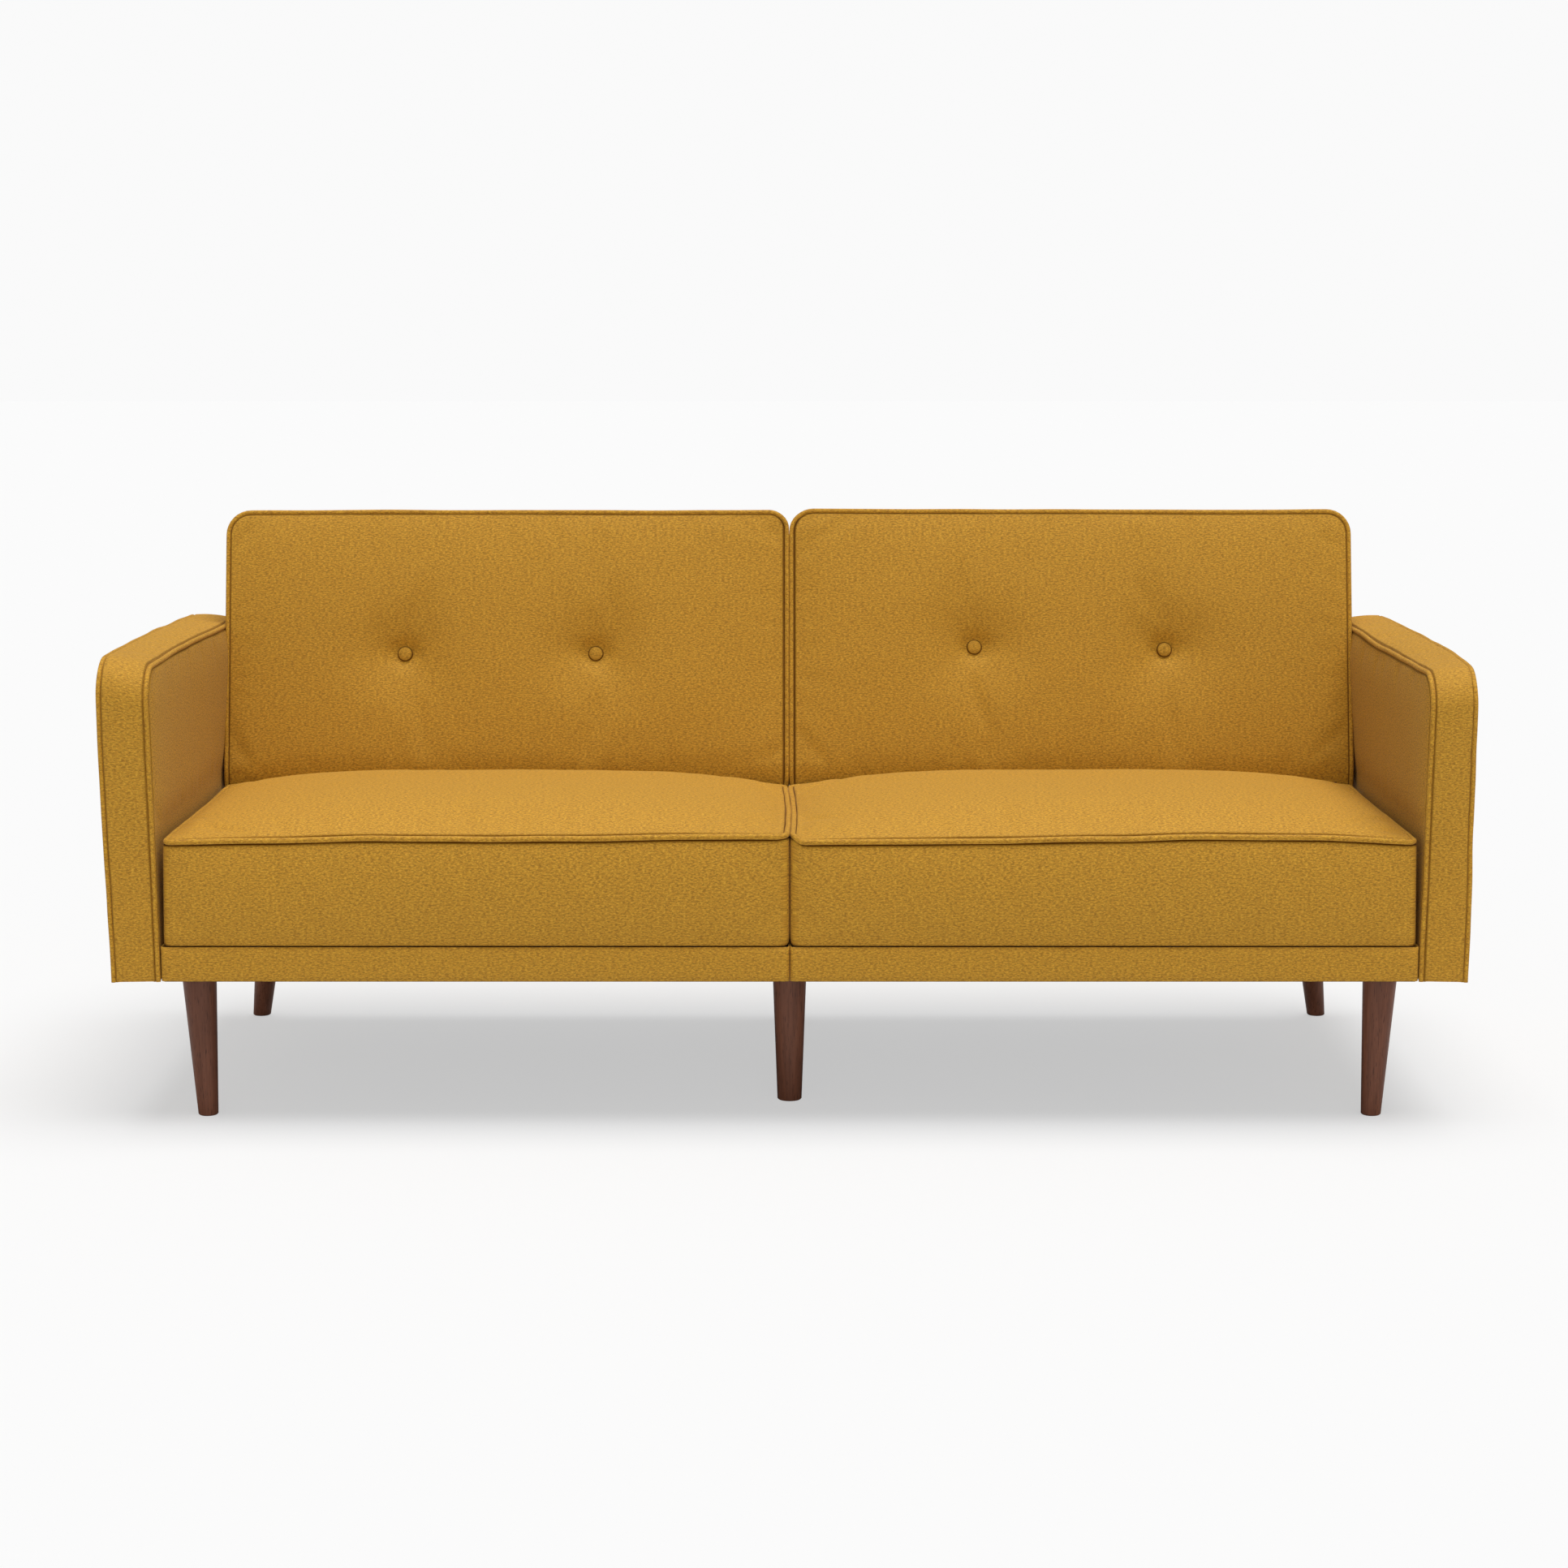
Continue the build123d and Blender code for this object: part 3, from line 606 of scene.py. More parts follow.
CLIP_PLASTIC = Coating(
    "moulded_clip_plastic", (0.016, 0.016, 0.017, 1.0), (0.03, 0.03, 0.03, 1.0), roughness=0.5
)
SEAT_FOAM = Foam("cut_foam", (0.70, 0.62, 0.42, 1.0), (0.50, 0.42, 0.25, 1.0))


# ---------------------------------------------------------------- shared mesh work
EdgeTest = Callable[[Vector, Vector], bool]  # takes the two ends of an edge


def millimetres(*values: float) -> tuple[float, ...]:
    """Turns millimetres into metres."""
    return tuple(value * MM for value in values)


def clamp(value: float, low: float, high: float) -> float:
    """Keeps a value between two limits."""
    return max(low, min(high, value))


def ease(value: float) -> float:
    """Eases a value from 0 to 1."""
    t = clamp(value, 0.0, 1.0)
    return t * t * (3 - 2 * t)


def along_run(values: Sequence[float], position: float) -> float:
    """Reads evenly spaced values at a position from 0 to 1, with soft steps between them."""
    steps = len(values) - 1
    place = clamp(position, 0.0, 1.0) * steps
    first = min(int(place), steps - 1)
    share = ease(place - first)
    return values[first] * (1 - share) + values[first + 1] * share


def swell(position: float, power: float) -> float:
    """A crown that is 1 in the middle and 0 where position is -1 or 1."""
    return 1 - min(abs(position), 1.0) ** power


def unevenness(point: Vector, seed: float, wavelength: float) -> float:
    """Smooth noise from -1 to 1 with a wavelength in metres."""
    return noise.noise(point / wavelength + Vector((seed, seed * 0.7, -seed)))


def local_span(node: str, placing: Matrix) -> tuple[Vector, Vector]:
    """Finds the extent of a CAD node along a set of leaning axes.

    Args:
        node: The CAD node.
        placing: The matrix from the leaning axes to the row's frame.

    Returns:
        Its lowest and highest corners along the leaning axes.
    """
    back = placing.inverted()
    points = [back @ v.co for v in frame["nodes"][node].data.vertices]
    return Vector([min(c) for c in zip(*points)]), Vector([max(c) for c in zip(*points)])


def plain_block(low: Vector, high: Vector) -> bmesh.types.BMesh:
    """Makes the plain block between two corners."""
    bm = bmesh.new()
    middle = (high + low) / 2
    shape = Matrix.Translation(middle) @ Matrix.Diagonal((*(high - low), 1))
    bmesh.ops.create_cube(bm, size=1.0, matrix=shape)
    return bm


def edges_where(bm: bmesh.types.BMesh, test: EdgeTest) -> list[bmesh.types.BMEdge]:
    """Returns the edges whose two ends pass a test."""
    return [e for e in bm.edges if test(e.verts[0].co, e.verts[1].co)]


def upright(a: Vector, b: Vector) -> bool:
    """True for an edge that runs along the third of the piece's own axes."""
    return abs(a.z - b.z) > 10 * MM


def round_edges(
    bm: bmesh.types.BMesh,
    edges: list[bmesh.types.BMEdge],
    radius: float,
    segments: int,
    profile: float = 0.5,
) -> list[bmesh.types.BMFace]:
    """Rounds edges with a bevel.

    Args:
        bm: The mesh.
        edges: Its edges to round.
        radius: The distance from each edge at which the rounding starts.
        segments: The number of faces across it.
        profile: 0.5 for a round edge, less than 0.25 for a hollow one.

    Returns:
        The faces of the rounding.
    """
    made = bmesh.ops.bevel(
        bm,
        geom=edges,
        offset=radius,
        offset_type="OFFSET",
        affect="EDGES",
        segments=segments,
        profile=profile,
        material=-1,
        clamp_overlap=True,
    )
    return made["faces"]


CRADLE = 0.14  # profile of the hollow that a run of piping lies in


def cradle_rim(
    bm: bmesh.types.BMesh, edges: list[bmesh.types.BMEdge], lip: float, turn: float, depth: float
) -> None:
    """Hollows the edges that carry piping and marks the creases beside it for painted shade.

    Args:
        bm: The mesh.
        edges: The edges that carry piping.
        lip: The distance from each edge at which the hollow starts.
        turn: The width over which the cloth turns in to the crease.
        depth: How dark the painted shade in the creases is, from 0 to 1.
    """
    hollow = set(round_edges(bm, edges, lip, 4, CRADLE))
    panels = [face for face in bm.faces if face not in hollow]
    bmesh.ops.inset_region(bm, faces=panels, use_boundary=True, use_even_offset=True, thickness=turn)
    layer = bm.verts.layers.float.new(CREASE_SHADE)
    for vertex in bm.verts:
        vertex[layer] = depth if any(face in hollow for face in vertex.link_faces) else 0.0


def cut_into_grid(bm: bmesh.types.BMesh, low: Vector, high: Vector, spacing: Point) -> None:
    """Cuts a shape into small faces with evenly spaced planes.

    Args:
        bm: The mesh.
        low: The shape's lowest corner.
        high: The shape's highest corner.
        spacing: The distance between planes along each axis.
    """
    for axis in range(3):
        count = max(1, round((high[axis] - low[axis]) / spacing[axis]))
        normal = Vector([1.0 if i == axis else 0.0 for i in range(3)])
        for n in range(1, count):
            at = Vector(low)
            at[axis] = low[axis] + (high[axis] - low[axis]) * n / count
            geometry = [*bm.verts, *bm.edges, *bm.faces]
            bmesh.ops.bisect_plane(bm, geom=geometry, dist=0.2 * MM, plane_co=at, plane_no=normal)


def unwrap_panels(bm: bmesh.types.BMesh) -> None:
    """Writes a flat map of each panel, in metres, so that the weave follows the cut of the cloth."""
    layer = bm.loops.layers.uv.new("panel")
    bm.normal_update()
    for face in bm.faces:
        across, out, up = face.normal
        sideways = abs(across) > 0.75
        rounding = abs(across) > 0.2 and abs(up) < 0.5
        falling = out * up > 0.12
        for loop in face.loops:
            x, y, z = loop.vert.co
            if sideways:
                loop[layer].uv = (y, z)
            elif rounding:
                loop[layer].uv = (x - math.copysign(y, across * out), z)
            else:
                loop[layer].uv = (x, z - y if falling else z + y)


def finish_object(name: str, bm: bmesh.types.BMesh, finish: Finish) -> bpy.types.Object:
    """Makes an object of a mesh.

    Args:
        name: The piece's name.
        bm: Its mesh, which is freed.
        finish: Its finish.

    Returns:
        The object, at the origin.
    """
    mesh = bpy.data.meshes.new(name)
    bm.to_mesh(mesh)
    bm.free()
    mesh.shade_smooth()
    piece = bpy.data.objects.new(name, mesh)
    bpy.context.scene.collection.objects.link(piece)
    mesh.materials.append(finish.material())
    return piece


def round_tube(
    name: str, points: Sequence[Vector], radius: float, closed: bool, finish: Finish
) -> bpy.types.Object:
    """Makes a round tube along a line.

    Args:
        name: The piece's name.
        points: The line.
        radius: The tube's radius.
        closed: True if the line comes back to its start.
        finish: The tube's finish.

    Returns:
        The tube, as a mesh object.
    """
    curve = bpy.data.curves.new(name, "CURVE")
    curve.dimensions = "3D"
    curve.bevel_depth = radius
    curve.bevel_resolution = 3
    curve.use_fill_caps = not closed
    line = curve.splines.new("POLY")
    line.points.add(len(points) - 1)
    for target, point in zip(line.points, points):
        target.co = (*point, 1.0)
    line.use_cyclic_u = closed
    holder = bpy.data.objects.new(name + "_line", curve)
    mesh = bpy.data.meshes.new_from_object(holder)
    bpy.data.objects.remove(holder)
    bpy.data.curves.remove(curve)
    bm = bmesh.new()
    bm.from_mesh(mesh)
    bpy.data.meshes.remove(mesh)
    bmesh.ops.remove_doubles(bm, verts=bm.verts, dist=0.01 * MM)
    bmesh.ops.recalc_face_normals(bm, faces=bm.faces)
    return finish_object(name, bm, finish)


def mirrored(bm: bmesh.types.BMesh) -> None:
    """Mirrors a mesh to the other half of the sofa and turns its faces outwards again."""
    bmesh.ops.scale(bm, vec=(-1.0, 1.0, 1.0), verts=bm.verts)
    bmesh.ops.reverse_faces(bm, faces=bm.faces)


@dataclass(frozen=True)
class Stuffing:
    """How firmly the padding pushes out a sewn cover.

    Attributes:
        pressure: The pressure inside the cover.
        slack: How much larger the cloth is than the shape it covers.
        cap: The furthest that the cloth may move, in metres.
        frames: The number of steps.
    """

    pressure: float = 4.0
    slack: float = 0.02
    cap: float = 9 * MM
    frames: int = 20

    def start(self, piece: bpy.types.Object, held: Iterable[int]) -> None:
        """Gives a cover its cloth, held along its seams.

        Args:
            piece: The cover.
            held: The vertices along its seams.
        """
        group = piece.vertex_groups.new(name="held")
        group.add(list(held), 1.0, "REPLACE")
        cloth = piece.modifiers.new("stuffing", "CLOTH")
        cloth.settings.quality = 6
        cloth.settings.mass = 0.4
        cloth.settings.air_damping = 2.0
        cloth.settings.tension_stiffness = 20.0
        cloth.settings.compression_stiffness = 20.0
        cloth.settings.shear_stiffness = 8.0
        cloth.settings.bending_stiffness = 2.0
        cloth.settings.use_pressure = True
        cloth.settings.uniform_pressure_force = self.pressure
        cloth.settings.vertex_group_mass = "held"
        cloth.settings.shrink_min = -self.slack
        cloth.settings.effector_weights.gravity = 0.0
        cloth.collision_settings.use_collision = False
        cloth.point_cache.frame_start = 1
        cloth.point_cache.frame_end = self.frames

    def settle(self, piece: bpy.types.Object, outwards: Callable[[Vector], Vector]) -> None:
        """Takes the cloth's shape over into the cover's mesh and removes the cloth.

        Args:
            piece: The cover.
            outwards: Gives the most that a point may move, in its two directions along each axis.
        """
        graph = bpy.context.evaluated_depsgraph_get()
        shaped = piece.evaluated_get(graph).data
        moved = [v.co.copy() for v in shaped.vertices]
        for vertex, target in zip(piece.data.vertices, moved):
            way = target - vertex.co
            if way.length > 1e-9:
                way = way.normalized() * self.cap * math.tanh(way.length / self.cap)
            vertex.co += way * outwards(vertex.co)
        piece.modifiers.remove(piece.modifiers["stuffing"])
        piece.vertex_groups.clear()


# ---------------------------------------------------------------- sewn shells
@dataclass
class SewnShell:
    """A padded piece of the sofa: a sewn cover over its stuffing.

    Attributes:
        side: The half of the sofa it belongs to.
        spacing: The size of its faces before they are smoothed.
        lip: The distance from the rim at which the hollow for the piping starts.
        turn: The width over which its panels turn in to that hollow.
        crease_shade: How dark the painted shade in the creases beside the piping is, from 0 to 1.
        fill: How tight it is, from 0 to 1; not used.
        lean_in: How far it swells towards the other half where the two meet.
    """

    side: Side
    spacing: float = 8 * MM
    lip: float = 8 * MM
    turn: float = 1.3 * MM
    crease_shade: float = 0.75
    fill: float = 0.8
    lean_in: float = 1.55 * MM

    @property
    def prefix(self) -> str:
        """The start of the names of this half's nodes."""
        return self.side.value

    def placing(self) -> Matrix:
        """Returns the matrix from the piece's own axes, on the right-hand side, to the row's frame."""
        return Matrix.Identity(4)

    def across(self) -> Matrix:
        """Returns the mirror that takes this half's pieces to the right-hand side."""
        return Matrix.Diagonal((self.side.sign, 1, 1, 1))

    def span(self, node: str) -> tuple[Vector, Vector]:
        """Returns a node's extent along the piece's own axes, as if it were on the right."""
        return local_span(node, self.across() @ self.placing())

    def to_row(self, bm: bmesh.types.BMesh) -> None:
        """Moves a mesh from the piece's own axes to its place in the row's frame."""
        bmesh.ops.transform(bm, matrix=self.placing(), verts=bm.verts)
        if self.side is Side.LEFT:
            mirrored(bm)

    def point_to_row(self, point: Vector) -> Vector:
        """Moves a point from the piece's own axes to its place in the row's frame."""
        return self.across() @ (self.placing() @ point)


@dataclass
class Seat(SewnShell):
    """One seat: a crowned cushion with piping round its top.

    Attributes:
        crown: How far the middle of the top stands above its edge.
        front_bulge: How far the front panel bulges.
        tuck: How far the front panel turns in at its lower seam.
        under_lip: How far the front panel lies back under the piping.
        corner: The radius of the front corners in plan.
        rear_corner: The radius of the rear ones.
        rear_drop: The share of the crown that is lost at the rear edge.
        edge_wander: The height of the front piping at even steps from the middle of the sofa outwards.
        inner_rise: The height of the piping where the front corners of the two seats press together.
        piping_radius: The radius of the piping.
        piping_stand: How far the piping stands proud of the rim.
    """

    crown: float = 37 * MM
    front_bulge: float = 4.5 * MM
    tuck: float = 3 * MM
    under_lip: float = 3.4 * MM
    corner: float = 16 * MM
    rear_corner: float = 10 * MM
    rear_drop: float = 0.62
    edge_wander: tuple[float, ...] = (0.0, 0.0)
    inner_rise: float = 14 * MM
    piping_radius: float = 4.0 * MM
    piping_stand: float = 1.0 * MM
    turn: float = 2.0 * MM
    # Darkness of the painted shade in the creases beside the piping.
    crease_shade: float = 1.0
    stuffing: Stuffing = Stuffing(cap=5 * MM)

    def build(self) -> bpy.types.Object:
        """Makes the seat's cover and returns it, before its cloth settles."""
        self.low, self.high = self.span(f"{self.prefix}_seat_cover")
        piping = self.span(f"{self.prefix}_seat_piping")
        self.edge = piping[1].z
        top = Vector((self.high.x, self.high.y, self.edge))
        bm = plain_block(self.low, top)
        middle = (top + self.low) / 2
        front = edges_where(bm, lambda a, b: upright(a, b) and a.y < middle.y)
        round_edges(bm, front, self.corner, 5)
        rear = edges_where(bm, lambda a, b: upright(a, b) and a.y > self.high.y - TOUCH)
        round_edges(bm, rear, self.rear_corner, 4)
        rim = edges_where(bm, lambda a, b: min(a.z, b.z) > self.edge - TOUCH)
        cradle_rim(bm, rim, self.lip, self.turn, self.crease_shade)
        # Painted shade: the dark crease colour is cut to 15 % along the top of the seat, beside the piping.
        layer = bm.verts.layers.float[CREASE_SHADE]
        for vertex in bm.verts:
            vertex[layer] *= 0.15 if vertex.co.z > self.edge - 0.5 * MM else 1.0
        cut_into_grid(bm, self.low, top, (self.spacing,) * 3)
        unwrap_panels(bm)
        for vertex in bm.verts:
            vertex.co = self.shaped(vertex.co)
        self.to_row(bm)
        piece = finish_object(f"{self.prefix}_seat_cushion", bm, UPHOLSTERY)
        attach(piece, "base")
        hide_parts(f"{self.prefix}_seat_cover", f"{self.prefix}_seat_foam")
        return piece

    def fractions(self, point: Vector) -> tuple[float, float, float]:
        """Returns a point's place across, from front to back (both -1 to 1) and up (0 to 1)."""
        middle = (self.low + self.high) / 2
        half = (self.high - self.low) / 2
        up = (point.z - self.low.z) / (self.edge - self.low.z)
        return (point.x - middle.x) / half.x, (point.y - middle.y) / half.y, up

    def edge_rise(self, across: float, along: float) -> float:
        """Returns how far the rim stands above its nominal height at a place on it."""
        front = along_run(self.edge_wander, (across + 1) / 2)
        corner = ease((-across - 0.955) / 0.045)
        front += (self.inner_rise - front) * corner
        rear = self.crown * (1 - self.rear_drop) * swell(across, 4.0) * ease((along - 0.2) / 0.8)
        return front * ease((0.7 - along) / 1.7) + rear

    def sway(self, across: float, along: float) -> float:
        """Returns how far the meeting sides of the two seats wander across, in the row's frame."""
        wave = along_run((0.0, 2.0 * MM, 2.6 * MM, 1.0 * MM, -2.0 * MM), (along + 1) / 2)
        return wave * ease((-across - 0.8) / 0.2)

    def shaped(self, point: Vector) -> Vector:
        """Returns where a point of the plain block lies in the crowned seat."""
        a, b, c = self.fractions(point)
        made = point.copy()
        crown = self.crown * swell(a, 4.2) * swell(b, 2.6)
        rise = self.edge_rise(a, b)
        made.z += crown * ease((c - 0.85) / 0.15) + rise * ease((c - 0.2) / 0.8)
        bulge = math.sin(math.pi * clamp(c, 0.0, 1.0)) ** 1.2 if 0 < c < 1 else 0.0
        front = ease((-b - 0.9) / 0.1)
        made.y -= self.front_bulge * bulge * swell(a, 8.0) * front
        made.y += self.tuck * (1 - ease(c / 0.12)) * front
        made.y += self.under_lip * ease((c - 0.88) / 0.07) * front
        made.x -= 3 * MM * c * ease((a - 0.9) / 0.1)
        pressed = 1 - abs(2 * clamp(c, 0.0, 1.0) - 1) ** 8
        made.x -= self.lean_in * pressed * ease((-a - 0.97) / 0.03)
        made.x += self.side.sign * self.sway(a, b) * c
        slow = unevenness(point, self.side.seed, 0.16)
        quick = unevenness(point, self.side.seed + 9, 0.05)
        rough = (1.3 * slow + 0.45 * quick) * MM
        away = swell(a, 10.0) * swell(b, 10.0)
        made.z += rough * away * ease((c - 0.9) / 0.1)
        made.y += rough * 0.7 * bulge * front
        return made

    def held(self, piece: bpy.types.Object) -> list[int]:
        """Returns the vertices that the seams and the frame hold."""
        found = []
        for vertex in piece.data.vertices:
            point = self.across() @ vertex.co
            a, b, c = self.fractions(point)
            rim = self.edge + self.edge_rise(a, b)
            to_side = (1 - abs(a)) * (self.high.x - self.low.x) / 2
            to_end = (1 - abs(b)) * (self.high.y - self.low.y) / 2
            by_piping = (to_side < 15 * MM or to_end < 16 * MM) and point.z > rim - 18 * MM
            if c < 0.04 or by_piping or abs(a) > 0.97 or b > 0.96:
                found.append(vertex.index)
        return found

    def settle(self, piece: bpy.types.Object) -> None:
        """Takes over the cloth's shape. The top and the front may swell freely."""
        self.stuffing.settle(piece, lambda point: Vector((0.3, 0.8, 1.0)))

    def rim_line(self) -> list[Vector]:
        """Returns the line of the piping round the top, in the piece's own axes."""
        inset = self.piping_radius
        front, rear = self.corner - inset, self.rear_corner - inset
        low = Vector((self.low.x + inset, self.low.y + inset, 0))
        high = Vector((self.high.x - 3 * MM - inset, self.high.y - inset, 0))
        line = rounded_loop(low, high, (front, rear, rear, front), 5 * MM)
        made = []
        for point in line:
            a, b, _ = self.fractions(point)
            drift = Vector((point.x, point.y, 0.0))
            wobble_up = unevenness(drift, self.side.seed + 3, 0.09) * 0.9 * MM
            wobble_out = unevenness(drift, self.side.seed + 5, 0.07) * 0.5 * MM
            height = self.edge - inset + self.edge_rise(a, b) + wobble_up + self.piping_stand
            out = (point - (low + high) / 2).normalized()
            placed = Vector((point.x, point.y, height)) + out * wobble_out
            placed.x -= self.lean_in * ease((-a - 0.93) / 0.05)
            placed.x += self.side.sign * self.sway(a, b)
            placed.y -= 0.8 * MM * ease((-b - 0.93) / 0.05)
            made.append(placed)
        return made

    def pipe(self) -> list[bpy.types.Object]:
        """Makes the piping round the top and returns it."""
        line = [self.point_to_row(p) for p in self.rim_line()]
        name = f"{self.prefix}_seat_welt"
        piece = round_tube(name, line, self.piping_radius, True, PIPING_CLOTH)
        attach(piece, "base")
        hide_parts(f"{self.prefix}_seat_piping")
        return [piece]


def rounded_loop(low: Vector, high: Vector, radii: Sequence[float], step: float) -> list[Vector]:
    """Returns points along a rounded rectangle in the XY plane, in order.

    Args:
        low: Its lowest corner.
        high: Its highest corner.
        radii: The radii of its corners, anticlockwise from the one with high X and low Y.
        step: The distance between points on its straight runs.
    """
    first, second, third, fourth = radii
    centres = [
        (high.x - first, low.y + first, first, -90),
        (high.x - second, high.y - second, second, 0),
        (low.x + third, high.y - third, third, 90),
        (low.x + fourth, low.y + fourth, fourth, 180),
    ]
    points = []
    for index, (x, y, radius, start) in enumerate(centres):
        for n in range(9):
            angle = math.radians(start + 90 * n / 8)
            points.append(Vector((x + radius * math.cos(angle), y + radius * math.sin(angle), 0)))
        nx, ny, next_radius, after = centres[(index + 1) % 4]
        angle = math.radians(after)
        target = Vector((nx + next_radius * math.cos(angle), ny + next_radius * math.sin(angle), 0))
        last = points[-1]
        count = int((target - last).length / step)
        points += [last.lerp(target, n / (count + 1)) for n in range(1, count + 1)]
    return points


@dataclass
class Back(SewnShell):
    """One reclining back: a buttoned cushion with piping round its front.

    Attributes:
        recline: How far it leans back from upright, in degrees.
        bulge: How far the middle of the front stands proud of its edge.
        side_bulge: How far its outer side bulges.
        corner: The radius of its upper outer corner, seen from the front.
        inner_corner: The radius of its upper corner at the middle of the sofa.
        lower_corner: The radius of its lower corners.
        rear_rounding: The radius of the edges round its rear face.
        drop: How far the lower edge of its front reaches below its place.
        tuck: How far that edge turns in behind the seat.
        dimple: How deep the buttons are pulled below the edge.
        dimple_reach: The radius of the soft hollow round a button.
        button_depth: How deep the dome of a button is.
        button_stand: How far a button stands proud of its place.
        piping_radius: The radius of the piping.
        top_wander: The height of the top edge at even steps from the middle of the sofa outwards.
        shift: How far its inner and its outer side lie outwards of their places, at the top.
        inner_button: How far its inner button is pulled outwards and up from its place.
        outer_button: The same for its outer button.
    """

    recline: float = 13.7
    bulge: float = 12 * MM
    side_bulge: float = 1.5 * MM
    corner: float = 38 * MM
    inner_corner: float = 24 * MM
    lower_corner: float = 10 * MM
    rear_rounding: float = 5 * MM
    drop: float = 9 * MM
    tuck: float = 9 * MM
    dimple: float = 10 * MM
    dimple_reach: float = 49 * MM
    button_depth: float = 6.5 * MM
    button_stand: float = 5.2 * MM
    piping_radius: float = 3.5 * MM
    top_wander: tuple[float, ...] = (0.0, 0.0)
    shift: tuple[float, float] = (0.0, 0.0)
    inner_button: tuple[float, float] = (0.0, 0.0)
    outer_button: tuple[float, float] = (0.0, 0.0)
    stuffing: Stuffing = Stuffing(pressure=3.0, slack=0.006, cap=4 * MM)

    def placing(self) -> Matrix:
        """Returns the matrix from the back's own axes, across, up its face and out of it."""
        joint = next(j for j in frame["joints"] if j["child"] == f"{self.prefix}_back")
        _, y, z = joint["pos_m"]
        lean = math.radians(self.recline)
        sine, cosine = math.sin(lean), math.cos(lean)
        rows = ((1, 0, 0, 0), (0, sine, -cosine, y), (0, cosine, sine, z), (0, 0, 0, 1))
        return Matrix(rows)

    def build(self) -> bpy.types.Object:
        """Makes the back's cover and returns it, before its cloth settles."""
        self.low, self.high = self.span(f"{self.prefix}_back_cover")
        self.front = self.span(f"{self.prefix}_back_piping")[1].z
        self.buttons = self.button_places()
        bm = plain_block(self.low, self.high)
        middle = (self.high + self.low) / 2

        def upper(a: Vector, b: Vector) -> bool:
            """True for the edges through the back at its upper corners."""
            return upright(a, b) and a.y > middle.y

        inner = edges_where(bm, lambda a, b: upper(a, b) and a.x < middle.x)
        round_edges(bm, inner, self.inner_corner, 7)
        outer = edges_where(bm, lambda a, b: upper(a, b) and a.x > middle.x)
        round_edges(bm, outer, self.corner, 7)
        lower = edges_where(bm, lambda a, b: upright(a, b) and a.y < self.low.y + 1 * MM)
        round_edges(bm, lower, self.lower_corner, 5)
        rear = edges_where(bm, lambda a, b: max(a.z, b.z) < self.low.z + TOUCH)
        round_edges(bm, rear, self.rear_rounding, 2)
        rim = edges_where(bm, lambda a, b: min(a.z, b.z) > self.high.z - TOUCH)
        cradle_rim(bm, rim, self.lip, self.turn, self.crease_shade)
        cut_into_grid(bm, self.low, self.high, (self.spacing,) * 3)
        unwrap_panels(bm)
        for vertex in bm.verts:
            vertex.co = self.shaped(vertex.co)
        self.to_row(bm)
        piece = finish_object(f"{self.prefix}_back_cushion", bm, UPHOLSTERY)
        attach(piece, f"{self.prefix}_back")
        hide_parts(f"{self.prefix}_back_cover", f"{self.prefix}_back_foam")
        return piece

    def button_places(self) -> list[Vector]:
        """Returns the middle of each button, on the back's own axes."""
        low, high = self.span(f"{self.prefix}_back_buttons")
        radius = (high.y - low.y) / 2
        level = (low.y + high.y) / 2
        return [
            Vector((low.x + radius + self.inner_button[0], level + self.inner_button[1], 0)),
            Vector((high.x - radius + self.outer_button[0], level + self.outer_button[1], 0)),
        ]

    def fractions(self, point: Vector) -> tuple[float, float, float]:
        """Returns a point's place across, up (both -1 to 1) and from rear to front (0 to 1)."""
        middle = (self.low + self.high) / 2
        half = (self.high - self.low) / 2
        through = (point.z - self.low.z) / (self.high.z - self.low.z)
        return (point.x - middle.x) / half.x, (point.y - middle.y) / half.y, through

    def pull(self, point: Vector) -> float:
        """Returns how far the buttons pull in the face at a point, from 0 to 1."""
        pulled = 0.0
        for button in self.buttons:
            dx, dy = point.x - button.x, point.y - button.y
            reach = self.dimple_reach * (1 + 0.12 * math.cos(3 * math.atan2(dy, dx)))
            away = math.hypot(dx * 0.86, dy)
            pulled = max(pulled, math.exp(-((away / reach) ** 1.25) * 1.6))
            core = away / (15 * MM)
            pulled = max(pulled, 1.0 - ease(core - 0.6) * 0.42) if core < 1.6 else pulled
        return pulled

    def edge_rise(self, across: float) -> float:
        """Returns how far the top edge stands above its nominal height."""
        return along_run(self.top_wander, (across + 1) / 2)

    def aside(self, across: float, up: float) -> float:
        """Returns how far a place on the back lies outwards of its nominal place."""
        inner, outer = self.shift
        share = (across + 1) / 2
        return (inner * (1 - share) + outer * share) * (0.45 + 0.55 * ease((up + 1) / 2))

    def turned_in(self, up: float, through: float) -> Vector:
        """Returns how far the lower edge of the front is turned down and in at a place on the back."""
        share = ease((-up - 0.86) / 0.14)
        return Vector((0.0, -self.drop * share, -self.tuck * share)) * ease((through - 0.7) / 0.25)

